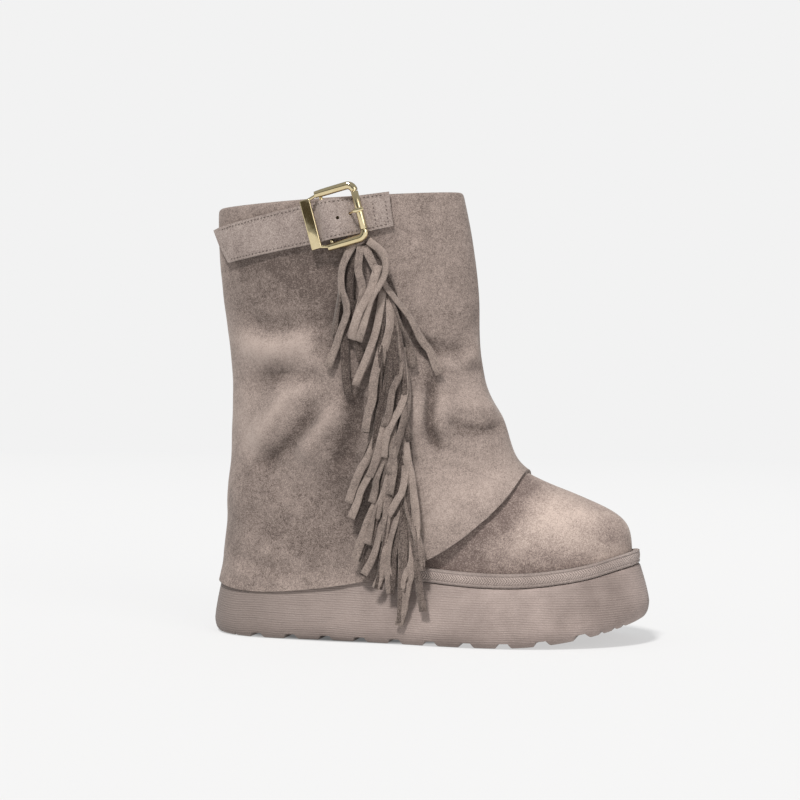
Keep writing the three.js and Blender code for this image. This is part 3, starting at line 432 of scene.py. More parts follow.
def cut_notch(x, width):
    """A small V across the tread's edge."""
    bpy.ops.object.select_all(action="DESELECT")
    bpy.ops.mesh.primitive_cone_add(vertices=3, radius1=width * 0.62, radius2=width * 0.62, depth=0.3)
    bar = bpy.context.object
    for vertex in bar.data.vertices:
        flat = vertex.co.copy()
        vertex.co = (x + flat.x, flat.z, sole_bottom(x) + flat.y - 0.0005)
    bar.data.update()
    face_outwards(bar)
    return bar


cutters += [cut_notch(x, width) for x, width in NOTCHES]
for cutter in cutters:
    cut = sole.modifiers.new("groove", "BOOLEAN")
    cut.operation = "DIFFERENCE"
    cut.solver = "EXACT"
    cut.object = cutter
apply_modifiers(sole)
for cutter in cutters:
    bpy.data.objects.remove(cutter)


def round_edges(piece, width, segments, angle):
    """Rounds the edges that are sharper than an angle in degrees."""
    rounding = piece.modifiers.new("rounded_edges", "BEVEL")
    rounding.width = width
    rounding.segments = segments
    rounding.limit_method = "ANGLE"
    rounding.angle_limit = math.radians(angle)
    apply_modifiers(piece)


round_edges(sole, 0.0005, 2, 50)


def shade_smooth(piece, angle=40):
    select_only(piece)
    bpy.ops.object.shade_smooth_by_angle(angle=math.radians(angle))


shade_smooth(sole)


def new_group(name, inputs, outputs):
    tree = bpy.data.node_groups.new(name, "ShaderNodeTree")
    for label, kind, value in inputs:
        socket = tree.interface.new_socket(label, in_out="INPUT", socket_type=kind)
        socket.default_value = value
    for label, kind in outputs:
        tree.interface.new_socket(label, in_out="OUTPUT", socket_type=kind)
    return tree, tree.nodes.new("NodeGroupInput").outputs, tree.nodes.new("NodeGroupOutput").inputs


def srgb(red, green, blue):
    """A colour as seen, 0 to 255, as Blender's linear colour."""
    def linear(value):
        value /= 255
        return value / 12.92 if value <= 0.04045 else ((value + 0.055) / 1.055) ** 2.4

    return (linear(red), linear(green), linear(blue), 1)


def build_foam():
    material, tree, shader = new_material("moulded_foam")
    wire = Wiring(tree)
    place = wire.place()
    # level lines: the height, bent a little by slow noise, cut into fine ridges
    apart = wire.apart(place)
    drift = wire.noise(place, 22, 2)
    height = wire.math("ADD", apart["Z"], wire.math("MULTIPLY", drift, 0.0035))
    wave = wire.math("SINE", wire.math("MULTIPLY", height, 4300.0), 0.0)
    stretched = wire.add("ShaderNodeMapping")
    stretched.inputs["Scale"].default_value = (60, 60, 900)
    wire.join(place, stretched.inputs["Vector"])
    streak = wire.noise(stretched.outputs["Vector"], 1, 3)
    lines = wire.math("MULTIPLY", wave, wire.span(streak, 0.35, 0.65, 0.1, 1))
    cloud = wire.noise(place, 26, 4)
    grain = wire.noise(place, 1400, 2)
    pale = wire.blend(wire.span(cloud, 0.34, 0.66, 0, 1), srgb(120, 105, 99), srgb(166, 149, 142))
    # painted shade: the sole is darker towards its heel end
    heel = wire.span(apart["X"], -0.05, 0.15, 0.95, 0)
    pale = wire.blend(heel, pale, srgb(112, 100, 94))
    # the level lines are paler on their raised crests
    pale_crested = wire.blend(wire.span(lines, -1, 1, 0, 0.30), pale, srgb(182, 168, 160))
    # darker towards the bottom of the sole's side
    low = wire.span(apart["Z"], 0.0, 0.012, 0.4, 0)
    darker_low = wire.blend(low, pale_crested, srgb(118, 104, 97))
    speck = wire.span(grain, 0.3, 0.7, 0.0, 0.28)
    wire.join(wire.blend(speck, darker_low, srgb(104, 91, 85)), shader.inputs["Base Color"])
    wire.join(wire.span(grain, 0.3, 0.7, 0.66, 0.86), shader.inputs["Roughness"])
    shader.inputs["Sheen Weight"].default_value = 0.06
    relief = wire.math("ADD", lines, wire.math("MULTIPLY", grain, 0.7))
    wire.bump(relief, shader, strength=0.55, distance=0.00022)
    return material


foam = build_foam()
sole.data.materials.append(foam)
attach(sole, "root")
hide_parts("platform_sole")


# Insole: a thin foam footbed under a brushed sock, glued in on top of the sole. The solid from the
# frame stays as it is, and only gets its brushed cloth.
def build_nap_group():
    """Brushed cloth: cloudy patches where the nap lies each way, finer mottling, and short fibres."""
    tree, taken, given = new_group(
        "brushed_nap",
        [("Dark", "NodeSocketColor", (0.2, 0.2, 0.2, 1)), ("Pale", "NodeSocketColor", (0.4, 0.4, 0.4, 1)),
         ("Cloud Scale", "NodeSocketFloat", 26.0), ("Fibre Scale", "NodeSocketFloat", 1500.0),
         ("Contrast", "NodeSocketFloat", 1.0), ("Lift", "NodeSocketFloat", 0.0)],
        [("Color", "NodeSocketColor"), ("Roughness", "NodeSocketFloat"), ("Height", "NodeSocketFloat")])
    wire = Wiring(tree)
    place = wire.place()

    def noise_at(scale, detail, distortion=0.0):
        return wire.noise(place, scale, detail, roughness=0.5, distortion=distortion)

    cloud = noise_at(taken["Cloud Scale"], 3, 0.9)
    patch = noise_at(wire.math("MULTIPLY", taken["Cloud Scale"], 3.7), 4, 0.4)
    speck = noise_at(wire.math("MULTIPLY", taken["Cloud Scale"], 16.0), 3)
    fibre = noise_at(taken["Fibre Scale"], 2)
    wide = wire.math("MULTIPLY", wire.math("SUBTRACT", cloud, 0.5), 0.55)
    middle = wire.math("MULTIPLY", wire.math("SUBTRACT", patch, 0.5), 0.5)
    small = wire.math("MULTIPLY", wire.math("SUBTRACT", speck, 0.5), 0.66)
    hair = wire.math("MULTIPLY", wire.math("SUBTRACT", fibre, 0.5), 1.6)
    # the slow brushed tone, moved by the Lift that carries painted shade and light and nap tone, stays within
    # bounds, so that the grain shows in the darkest and palest parts
    slow = wire.math("ADD", wire.math("MULTIPLY", wide, taken["Contrast"]), taken["Lift"])
    slow = wire.span(wire.math("ADD", slow, 0.5), 0.1, 0.95, 0.1, 0.95)
    fine = wire.math("ADD", middle, wire.math("ADD", small, hair))
    total = wire.math("ADD", slow, wire.math("MULTIPLY", fine, taken["Contrast"]))
    wire.join(wire.blend(total, taken["Dark"], taken["Pale"]), given["Color"])
    wire.join(wire.span(total, 0, 1, 0.98, 0.84), given["Roughness"])
    wire.join(wire.math("ADD", fibre, wire.math("MULTIPLY", speck, 0.8)), given["Height"])
    return tree


brushed_nap = build_nap_group()


def build_brushed(name, dark, pale, cloud_scale=26.0, contrast=1.0, relief=0.0002, fibre_scale=1500.0,
                  sheen=0.25, folds=False):
    """A brushed cloth; with folds, its colour takes the mask of painted light on the ridges, painted shade in the
    troughs, and nap tone.
    """
    material, tree, shader = new_material(name)
    wire = Wiring(tree)
    nap = wire.add("ShaderNodeGroup", node_tree=brushed_nap)
    nap.inputs["Dark"].default_value = dark
    nap.inputs["Pale"].default_value = pale
    nap.inputs["Cloud Scale"].default_value = cloud_scale
    nap.inputs["Fibre Scale"].default_value = fibre_scale
    nap.inputs["Contrast"].default_value = contrast
    if folds:
        # the mesh's mask of painted shade and light from the folds, and of nap tone
        fold = wire.add("ShaderNodeAttribute", attribute_name="fold")
        wire.join(fold.outputs["Fac"], nap.inputs["Lift"])
    wire.join(nap.outputs["Color"], shader.inputs["Base Color"])
    wire.join(nap.outputs["Roughness"], shader.inputs["Roughness"])
    shader.inputs["Specular IOR Level"].default_value = 0.15
    shader.inputs["Sheen Weight"].default_value = sheen
    shader.inputs["Sheen Roughness"].default_value = 0.45
    shader.inputs["Sheen Tint"].default_value = (0.95, 0.88, 0.82, 1)
    wire.bump(nap.outputs["Height"], shader, strength=0.6, distance=relief)
    return material


sock_cloth = build_brushed("sock_cloth", srgb(160, 146, 132), srgb(196, 184, 170), cloud_scale=40)


def dress_node(name, material):
    node = nodes[name]
    if not node.data.materials:
        node.data.materials.append(material)
    for held in node.material_slots:
        held.link = "OBJECT"
        held.material = material


dress_node("insole", sock_cloth)


# Upper: the vamp of brushed suede cloth, drawn over the last and glued down behind the rand, sewn to the
# soft inner shaft. A raised seam runs down the middle of the toe, and soft creases lie at the instep.
def copy_of(node, name):
    """A copy of a node's mesh as a new piece, with its corners merged and its triangles paired."""
    piece = bpy.data.objects.new(name, nodes[node].data.copy())
    piece.data.name = name
    bpy.context.collection.objects.link(piece)
    piece.data.materials.clear()
    select_only(piece)
    bpy.ops.object.mode_set(mode="EDIT")
    bpy.ops.mesh.select_mode(type="EDGE")
    bpy.ops.mesh.select_all(action="SELECT")
    bpy.ops.mesh.remove_doubles(threshold=0.000002)
    bpy.ops.mesh.select_all(action="DESELECT")
    bpy.ops.mesh.edges_select_sharp(sharpness=math.radians(65))
    bpy.ops.mesh.mark_seam()
    bpy.ops.mesh.select_mode(type="FACE")
    bpy.ops.mesh.select_all(action="SELECT")
    bpy.ops.mesh.tris_convert_to_quads(
        face_threshold=math.radians(60), shape_threshold=math.radians(140), seam=True)
    bpy.ops.object.mode_set(mode="OBJECT")
    return piece


def subdivide(piece, levels):
    rounder = piece.modifiers.new("rounder", "SUBSURF")
    rounder.levels = rounder.render_levels = levels
    apply_modifiers(piece)


COLLAR_TOP = 0.2915
HEM_LOW = 0.0304


def fold_place(share, up):
    """x and z of a place given as a share of the sole's length and of the height from hem to collar."""
    return Vector((along_sole(share), mix(HEM_LOW, COLLAR_TOP, up)))


def line_distance(place, line):
    """The distance to a line, how far along it, from 0 to 1, its nearest point is, and how steeply up."""
    best, where, rise = 1.0, 0.0, 0.0
    for i in range(len(line) - 1):
        a, b = line[i], line[i + 1]
        run = b - a
        t = clamp((place - a).dot(run) / run.length_squared)
        apart = place - a - run * t
        if apart.length < best:
            best = apart.length
            where = (i + t) / (len(line) - 1)
            rise = apart.y / max(best, 1e-6)
    return best, where, rise


FOLD_REACH = 2.6  # how far a fold is felt to each side, in its widths
FOLD_LEAN = 0.36  # how much narrower its overhanging side is, and its other side wider
FOLD_EASE = 3.2  # how soon a fold is at its full depth from its ends
SHADE_GAIN = 72  # how much painted shade or light the colour mask gains for each metre of a fold's depth


def sculpt(piece, folds, side, waves=0.0, shade_and_nap_tones=(), keep=lambda place: 1.0):
    """Presses soft troughs and ridges into a shell along its normals, and notes them in its colour mask as
    painted shade in the troughs and painted light on the ridges, with the tone lines' nap tone and painted shade.
    """
    lines = [([fold_place(*p) for p in points], width, depth) for points, width, depth in folds]
    shade_and_nap_lines = [([fold_place(*p) for p in points], width, lift) for points, width, lift in shade_and_nap_tones]
    mesh = piece.data
    shade_and_tone_mask = mesh.attributes.get("fold") or mesh.attributes.new("fold", "FLOAT", "POINT")
    normals = [v.normal.copy() for v in mesh.vertices]
    for vertex, normal in zip(mesh.vertices, normals):
        facing = smooth(normal.y * side * 2.2)
        if facing <= 0:
            continue
        flat = Vector((vertex.co.x, vertex.co.z))
        total = 0.0
        for line, width, depth in lines:
            away, where, rise = line_distance(flat, line)
            if away < FOLD_REACH * width:
                # the cloth folds over: a trough is steep on its upper side, a ridge on its lower
                steep = rise if depth < 0 else -rise
                ends = smooth(min(where, 1 - where) * FOLD_EASE + 0.12)
                total += depth * ends * math.exp(-(away / width / (0.97 - FOLD_LEAN * steep)) ** 2 * 1.4)
        slow = noise.noise(vertex.co * 26) * waves + noise.noise(vertex.co * 61) * waves * 0.45
        moved = (total + slow) * facing * keep(vertex.co)
        vertex.co = vertex.co + normal * moved
        nap = sum(
            lift * math.exp(-(line_distance(flat, line)[0] / width) ** 2) for line, width, lift in shade_and_nap_lines)
        # painted shade in the troughs and painted light on the ridges, with the tone lines' nap tone and painted
        # shade
        shade_and_tone_mask.data[vertex.index].value += (total * SHADE_GAIN + nap) * facing
    mesh.update()


VAMP_FOLDS = [
    # places as shares of the sole's length and of the height; width and depth in metres
    ([(0.74, 0.30), (0.77, 0.25), (0.80, 0.19)], 0.006, -0.0007),
    ([(0.80, 0.28), (0.84, 0.22), (0.86, 0.16)], 0.008, 0.0006),
    ([(0.88, 0.215), (0.92, 0.19), (0.945, 0.15)], 0.006, -0.0006),
    ([(0.70, 0.23), (0.76, 0.17), (0.84, 0.12)], 0.010, -0.0008),
]
# the vamp's tones: painted shadow below the hem and along the rand, and dark and pale nap patches; places, width
# in metres, and how much paler
VAMP_SHADE_AND_NAP = [
    ([(0.52, 0.10), (0.62, 0.14), (0.70, 0.22), (0.74, 0.27)], 0.013, -0.52),
    ([(0.52, 0.06), (0.60, 0.10)], 0.012, -0.30),
    ([(0.54, 0.06), (0.70, 0.06), (0.86, 0.075)], 0.011, -0.34),
    ([(0.79, 0.195), (0.86, 0.165)], 0.016, 0.34),
    ([(0.905, 0.17), (0.955, 0.135)], 0.007, -0.28),
    ([(0.93, 0.10), (0.97, 0.09)], 0.008, 0.16),
]
upper = copy_of("upper", "vamp_and_lining")
subdivide(upper, 2)


def on_vamp(place):
    ahead, below = smooth((place.x - 0.075) / 0.03), smooth((0.125 - place.z) / 0.02)
    return ahead * below * smooth((place.z - 0.056) / 0.012)


sculpt(upper, VAMP_FOLDS, -1, waves=0.0006, shade_and_nap_tones=VAMP_SHADE_AND_NAP, keep=on_vamp)
sculpt(upper, VAMP_FOLDS, 1, waves=0.0006, shade_and_nap_tones=VAMP_SHADE_AND_NAP, keep=on_vamp)
shade_smooth(upper, 60)
vamp_suede = build_brushed(
    "vamp_suede", srgb(106, 92, 87), srgb(196, 178, 167), cloud_scale=38, contrast=0.95, folds=True)
lining_cloth = build_brushed("lining_cloth", srgb(150, 136, 124), srgb(182, 168, 154), cloud_scale=34)
upper.data.materials.append(vamp_suede)
upper.data.materials.append(lining_cloth)
for face in upper.data.polygons:
    outward = Vector((0, face.center.y, 0)) + Vector((face.center.x - 0.04, 0, 0)) * 0.4
    inside = face.normal.dot(outward) < 0 and not (face.center.x > 0.2 and face.normal.x > 0.2)
    face.material_index = 1 if inside and face.center.z > 0.05 else 0
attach(upper, "root")
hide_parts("upper")


# Rand: a woven tape, folded over a cord at both edges, sewn round the joint of the upper and the sole.
RAND_HEIGHT = 0.009
RAND_THICK = 0.0035
RAND_LEDGE = 0.0005
CLEAR = 0.0003
RAND_SECTION = [
    # across from the inner face as a share of the thickness, height as a share, bulge as a share
    (0.00, 0.00, 0), (0.50, 0.00, 0), (0.92, 0.01, 0), (1.00, 0.04, 0.40), (1.00, 0.09, 0.80),
    (1.00, 0.15, 0.95), (1.00, 0.20, 0.75), (1.00, 0.235, 0.35), (1.00, 0.27, 0.62), (1.00, 0.38, 0.88),
    (1.00, 0.52, 0.96), (1.00, 0.66, 0.84), (1.00, 0.78, 0.60), (1.00, 0.815, 0.30), (1.00, 0.86, 0.62),
    (1.00, 0.91, 0.60), (0.97, 0.955, 0.2), (0.80, 0.99, 0), (0.45, 1.00, 0), (0.00, 1.00, 0),
]
RAND_BULGE = 0.0008


def close_rings(name, rings):
    """Rings joined into a tube that closes on itself, with a map of its length and its section."""
    bpy.ops.object.select_all(action="DESELECT")
    count = len(rings[0])
    bpy.ops.mesh.primitive_circle_add(vertices=count, fill_type="NOTHING")
    piece = bpy.context.object
    piece.name = piece.data.name = name
    bpy.ops.object.mode_set(mode="EDIT")
    bpy.ops.mesh.select_mode(type="VERT")
    bpy.ops.mesh.select_all(action="SELECT")
    grid = bmesh.from_edit_mesh(piece.data)
    order = grid.verts.layers.int.new("order")
    grid.verts.ensure_lookup_table()
    for i, vertex in enumerate(grid.verts):
        vertex[order] = i
    bmesh.update_edit_mesh(piece.data)
    for step, ring in enumerate(rings + [rings[0]]):
        if step:
            bpy.ops.mesh.extrude_region_move()
        grid = bmesh.from_edit_mesh(piece.data)
        order = grid.verts.layers.int["order"]
        for vertex in grid.verts:
            if vertex.select:
                vertex[order] = vertex[order] % count + step * count
                vertex.co = ring[vertex[order] % count]
        bmesh.update_edit_mesh(piece.data)
    grid = bmesh.from_edit_mesh(piece.data)
    order = grid.verts.layers.int["order"]
    lengths = [0.0]
    for i in range(count):
        lengths.append(lengths[-1] + (rings[5][(i + 1) % count] - rings[5][i]).length)
    heights = [0.0]
    for i in range(len(rings)):
        heights.append(heights[-1] + (rings[(i + 1) % len(rings)][0] - rings[i][0]).length)
    uv = grid.loops.layers.uv.new("tape")
    for face in grid.faces:
        rounds = [loop.vert[order] % count for loop in face.loops]
        wraps = max(rounds) - min(rounds) > count / 2
        for loop, turn in zip(face.loops, rounds):
            turn += count if wraps and turn < count / 2 else 0
            loop[uv].uv = (lengths[turn], heights[loop.vert[order] // count])
    bmesh.update_edit_mesh(piece.data)
    bpy.ops.mesh.select_all(action="SELECT")
    bpy.ops.mesh.remove_doubles(threshold=0.000001)
    bpy.ops.mesh.normals_make_consistent(inside=False)
    bpy.ops.object.mode_set(mode="OBJECT")
    return piece


rand_rings = [
    sole_ring(
        lambda angle, x, row=row: (
            flare_at(angle) + RAND_LEDGE + (1 - row[0]) * RAND_THICK - row[2] * RAND_BULGE),
        lambda x, row=row: sole_top(x) + CLEAR + row[1] * RAND_HEIGHT)
    for row in RAND_SECTION
]
rand = close_rings("rand_tape", rand_rings)
shade_smooth(rand, 50)


def build_tape():
    material, tree, shader = new_material("woven_tape")
    wire = Wiring(tree)
    place = wire.place()
    apart = wire.apart(wire.add("ShaderNodeUVMap", uv_map="tape").outputs["UV"])
    # chevrons: the ribs lean one way over the lower half of the weave and the other way over the upper
    middle = wire.math("ABSOLUTE", wire.math("SUBTRACT", apart["Y"], 0.0084), 0.0)
    lean = wire.math("MULTIPLY", middle, 2900.0)
    turn = wire.math("ADD", wire.math("MULTIPLY", apart["X"], 3700.0), lean)
    rib = wire.math("SINE", turn, 0.0)
    weave = wire.span(middle, 0.0023, 0.0026, 1, 0)
    cross = wire.math("SINE", wire.math("MULTIPLY", apart["X"], 7600.0), 0.35)
    woven = wire.blend(weave, cross, rib)
    cloud = wire.noise(place, 60, 4)
    grain = wire.noise(place, 2200, 2)
    base = wire.blend(wire.span(cloud, 0.3, 0.7, 0, 1), srgb(178, 161, 153), srgb(206, 188, 179))
    shade = wire.span(woven, -1, 1, 0.0, 0.75)
    dark = wire.blend(0.55, base, srgb(100, 86, 79))
    wire.join(wire.blend(shade, dark, base), shader.inputs["Base Color"])
    wire.join(wire.span(grain, 0.3, 0.7, 0.74, 0.92), shader.inputs["Roughness"])
    shader.inputs["Sheen Weight"].default_value = 0.15
    wire.bump(wire.math("ADD", woven, grain), shader, strength=0.9, distance=0.0003)
    return material


rand.data.materials.append(build_tape())
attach(rand, "root")
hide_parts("rand")


# Fold-over shaft: the tall soft leg of the boot, of suede cloth with the same cloth turned in at the top.
# It is rolled over at the collar and hangs loose round the ankle in soft folds, its hem cut raw.
SHAFT_WALL = 0.0018
OUTER_FOLDS = [
    # the outer side, from the heel forwards; a negative depth is a trough
    ([(0.081, 0.690), (0.124, 0.670), (0.183, 0.662), (0.242, 0.670), (0.312, 0.674), (0.358, 0.654)],
     0.009, -0.0039),
    ([(0.070, 0.617), (0.136, 0.600), (0.183, 0.599), (0.237, 0.625), (0.300, 0.650)], 0.011, 0.0039),
    ([(0.080, 0.499), (0.124, 0.527), (0.159, 0.544), (0.207, 0.548), (0.265, 0.540), (0.330, 0.505)],
     0.008, -0.0042),
    ([(0.293, 0.520), (0.242, 0.512), (0.207, 0.480), (0.171, 0.425), (0.136, 0.379), (0.107, 0.341)],
     0.009, 0.0036),
    ([(0.293, 0.490), (0.260, 0.430), (0.218, 0.375), (0.159, 0.329), (0.114, 0.303)], 0.008, -0.0044),
    ([(0.358, 0.481), (0.307, 0.421), (0.265, 0.366), (0.246, 0.316)], 0.009, 0.0036),
    ([(0.385, 0.520), (0.378, 0.430), (0.355, 0.352), (0.323, 0.307)], 0.008, -0.0046),
    ([(0.270, 0.617), (0.312, 0.624), (0.358, 0.609)], 0.007, -0.0029),
    ([(0.540, 0.560), (0.536, 0.482), (0.536, 0.421), (0.549, 0.384), (0.563, 0.355)], 0.0038, -0.0046),
    ([(0.515, 0.500), (0.515, 0.440), (0.525, 0.390)], 0.008, 0.0021),
    ([(0.565, 0.500), (0.565, 0.440), (0.575, 0.390)], 0.008, 0.0021),
    ([(0.481, 0.653), (0.508, 0.624), (0.545, 0.606), (0.585, 0.602), (0.625, 0.611)], 0.008, -0.0039),
    ([(0.529, 0.570), (0.581, 0.570), (0.621, 0.590), (0.634, 0.640)], 0.009, 0.0029),
    ([(0.563, 0.443), (0.607, 0.414), (0.652, 0.407), (0.703, 0.430)], 0.006, -0.0034),
    ([(0.574, 0.475), (0.630, 0.458), (0.679, 0.462), (0.714, 0.450)], 0.007, 0.0029),
    ([(0.630, 0.706), (0.648, 0.662), (0.643, 0.604), (0.616, 0.536)], 0.006, -0.0029),
    ([(0.060, 0.105), (0.112, 0.072), (0.167, 0.059), (0.242, 0.057)], 0.006, -0.0007),
    ([(0.050, 0.060), (0.112, 0.035), (0.200, 0.025)], 0.006, 0.0008),
    ([(0.207, 0.820), (0.270, 0.815), (0.346, 0.820)], 0.010, -0.0023),
    ([(0.563, 0.323), (0.630, 0.300), (0.696, 0.313)], 0.009, -0.0013),
    ([(0.120, 0.230), (0.190, 0.200), (0.270, 0.215)], 0.014, 0.0016),
]
OUTER_SHADE_AND_NAP = [
    # where the nap is brushed dark or pale, and where shade or light is painted, such as the painted shadow under
    # the strap and painted shade along the deepest troughs: places, width in metres, and how much paler
    ([(0.110, 0.755), (0.309, 0.766)], 0.020, -0.26),
    # painted light along the ridge
    ([(0.094, 0.625), (0.150, 0.600), (0.235, 0.612)], 0.011, 0.34),
    ([(0.566, 0.250), (0.683, 0.295)], 0.024, 0.26),
    ([(0.480, 0.700), (0.600, 0.800)], 0.030, -0.02),
    # painted shade along the trough beside the fringe
    ([(0.372, 0.487), (0.356, 0.374), (0.328, 0.311)], 0.009, -0.26),
    ([(0.239, 0.825), (0.330, 0.740)], 0.016, -0.20),
    # painted shadow under the strap
    ([(0.089, 0.811), (0.216, 0.824), (0.344, 0.841)], 0.005, -0.34),
    ([(0.330, 0.800), (0.350, 0.560)], 0.010, -0.16),
    ([(0.600, 0.510), (0.640, 0.525)], 0.013, 0.20),
    # painted shade along the narrow trough
    ([(0.536, 0.530), (0.536, 0.421), (0.556, 0.365)], 0.004, -0.30),
    ([(0.094, 0.494), (0.110, 0.356)], 0.011, 0.20),
    # painted light along the ridge, and painted shade along the trough below it
    ([(0.290, 0.525), (0.220, 0.470), (0.134, 0.370)], 0.009, 0.14),
    ([(0.290, 0.480), (0.200, 0.370), (0.120, 0.310)], 0.010, -0.12),
    # painted shade: the low part of the cuff is darker towards the heel
    ([(0.080, 0.110), (0.360, 0.150)], 0.024, -0.17),
    ([(0.100, 0.235), (0.320, 0.245)], 0.020, -0.12),
    ([(0.070, 0.040), (0.110, 0.070)], 0.008, 0.14),
]
INNER_FOLDS = [
    # the inner side, which the photo doesn't show: the same cloth sags in the same way
    ([(0.090, 0.650), (0.160, 0.620), (0.260, 0.640), (0.360, 0.610)], 0.010, -0.0030),
    ([(0.100, 0.580), (0.180, 0.560), (0.280, 0.575), (0.380, 0.545)], 0.011, 0.0028),
    ([(0.110, 0.500), (0.220, 0.480), (0.330, 0.500), (0.430, 0.470)], 0.008, -0.0032),
    ([(0.440, 0.640), (0.520, 0.600), (0.600, 0.610)], 0.009, -0.0026),
    ([(0.460, 0.560), (0.540, 0.530), (0.630, 0.545)], 0.009, 0.0024),
    ([(0.330, 0.440), (0.270, 0.370), (0.180, 0.320)], 0.009, -0.0030),
    ([(0.380, 0.400), (0.320, 0.330), (0.250, 0.280)], 0.010, 0.0026),
    ([(0.470, 0.480), (0.490, 0.410), (0.530, 0.350)], 0.007, -0.0028),
    ([(0.580, 0.440), (0.630, 0.410), (0.700, 0.425)], 0.007, -0.0022),
    ([(0.150, 0.180), (0.260, 0.150), (0.380, 0.170)], 0.013, 0.0012),
]
shaft = copy_of("fold_over_shaft", "fold_over_cuff")
select_only(shaft)
top_face = max(shaft.data.polygons, key=lambda face: face.center.z).index
bpy.ops.object.mode_set(mode="EDIT")
bpy.ops.mesh.select_all(action="DESELECT")
skin = bmesh.from_edit_mesh(shaft.data)
skin.faces.ensure_lookup_table()
skin.faces[top_face].select = True
bmesh.update_edit_mesh(shaft.data)
bpy.ops.mesh.select_linked(delimit={"SEAM"})
bpy.ops.mesh.select_all(action="INVERT")
bpy.ops.mesh.delete(type="FACE")
bpy.ops.object.mode_set(mode="OBJECT")
subdivide(shaft, 3)


def strap_calm(place):
    """0 where the strap lies, 1 clear of it; the same at the fold and along the hem's edge."""
    if place.y >= 0:
        return smooth((0.270 - place.z) / 0.02)
    middle = 0.2720 + (place.x - 0.035) * math.tan(math.radians(10))
    under = smooth((middle - 0.0142 - place.z) / 0.012)
    return max(under, smooth((place.x - 0.080) / 0.012) * smooth((0.278 - place.z) / 0.02))


sculpt(shaft, OUTER_FOLDS, -1, waves=0.0010, shade_and_nap_tones=OUTER_SHADE_AND_NAP, keep=strap_calm)
sculpt(shaft, INNER_FOLDS, 1, waves=0.0009, keep=strap_calm)
wall = shaft.modifiers.new("cloth", "SOLIDIFY")
wall.thickness = SHAFT_WALL
wall.offset = -1
apply_modifiers(shaft)
shade_smooth(shaft, 60)
cuff_suede = build_brushed(
    "cuff_suede", srgb(84, 73, 68), srgb(172, 156, 147), cloud_scale=30, contrast=0.95, folds=True)
shaft.data.materials.append(cuff_suede)
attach(shaft, "root")
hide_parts("fold_over_shaft")


# Strap: one flat band of the shaft's cloth, folded on itself and stitched along both edges, sewn down
# at its front end. It passes through the buckle and round the outer side, with two punched holes.
BUCKLE_X = 0.035
STRAP_MIDDLE = 0.27204
STRAP_TILT = math.radians(10)
STRAP_WIDTHS = [(-0.0812, 0.025), (0.0, 0.0264), (0.0416, 0.0225)]  # along from the centre bar
STRAP_SKEW = 0.0111
strap = copy_of("strap", "strap_band")
round_edges(strap, 0.0005, 3, 55)
shade_smooth(strap, 50)
strap_suede = build_brushed(
    "strap_suede", srgb(104, 91, 86), srgb(180, 166, 158), cloud_scale=60, contrast=0.95)
strap.data.materials.append(strap_suede)
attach(strap, "root")
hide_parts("strap")


def surface_tree(piece):
    mesh = piece.data
    return BVHTree.FromPolygons([v.co for v in mesh.vertices], [f.vertices[:] for f in mesh.polygons])


def outer_surface(tree, x, z):
    """The point and the normal of a surface on the boot's outer side, at x and z."""
    place, normal, _, _ = tree.ray_cast(Vector((x, -0.25, z)), Vector((0, 1, 0)))
    if place is None:
        place, normal, _, _ = tree.find_nearest(Vector((x, -0.06, z)))
    return place, (normal if normal.y < 0 else -normal)


def strap_place(along, across):
    """x and z of a place on the strap, from the buckle's centre bar."""
    x = BUCKLE_X + along * math.cos(STRAP_TILT) - across * math.sin(STRAP_TILT)
    return x, STRAP_MIDDLE + along * math.sin(STRAP_TILT) + across * math.cos(STRAP_TILT)


def add_ring_mesh(name, pieces):
    """One mesh of many small closed runs, each a list of rings of points."""
    corners, faces = [], []
    for rings in pieces:
        first, count = len(corners), len(rings[0])
        for ring in rings:
            corners.extend(ring)
        for i in range(len(rings) - 1):
            for j in range(count):
                k = (j + 1) % count
                a, b = first + i * count, first + (i + 1) * count
                faces.append((a + j, a + k, b + k, b + j))
        last = first + (len(rings) - 1) * count
        faces.append(tuple(first + j for j in reversed(range(count))))
        faces.append(tuple(last + j for j in range(count)))
    mesh = bpy.data.meshes.new(name)
    mesh.from_pydata(corners, [], faces)
    piece = bpy.data.objects.new(name, mesh)
    bpy.context.collection.objects.link(piece)
    face_outwards(piece)
    return piece


THREAD = 0.00024  # radius


def stitch(start, end, normal):
    """One stitch: a short thread that comes up at its start and goes down again at its end."""
    run = end - start
    side = run.cross(normal).normalized()
    rings = []
    for t in (0.0, 0.15, 0.35, 0.65, 0.85, 1.0):
        rise = THREAD * (2.2 * math.sin(t * math.pi) ** 0.5 - 0.9)
        middle = start + run * t + normal * rise
        slim = 0.75 if t in (0.0, 1.0) else 1.0
        rings.append([
            middle + (side * math.cos(turn) + normal * math.sin(turn) * 0.8) * THREAD * slim
            for turn in (math.tau * k / 6 for k in range(6))])
    return rings


def stitch_row(tree, places, length=0.0014, gap=0.0012):
    """Stitches laid end to end along a line of places on the outer side."""
    points = [outer_surface(tree, x, z) for x, z in places]
    row, travelled, start = [], 0.0, None
    for (a, normal), (b, _) in zip(points, points[1:]):
        step = (b - a).length
        if start is None:
            start = a
        travelled += step
        if travelled >= length + gap:
            end = start + (b - start).normalized() * length
            row.append(stitch(start, end, normal))
            start, travelled = b, 0.0
    return row


def strap_half(along):
    back, middle, front = STRAP_WIDTHS
    a, b = (back, middle) if along < 0 else (middle, front)
    return mix(a[1], b[1], (along - a[0]) / (b[0] - a[0])) / 2


strap_tree = surface_tree(strap)
strap_rows = []
for edge in (-1, 1):
    line = []
    for i in range(401):
        along = mix(-0.0793, 0.0395, i / 400)
        skew = STRAP_SKEW * edge * 0.5 * clamp((along + 0.008) / -0.0732)
        line.append(strap_place(along - skew, edge * (strap_half(along) - 0.0018)))
    strap_rows += stitch_row(strap_tree, line)
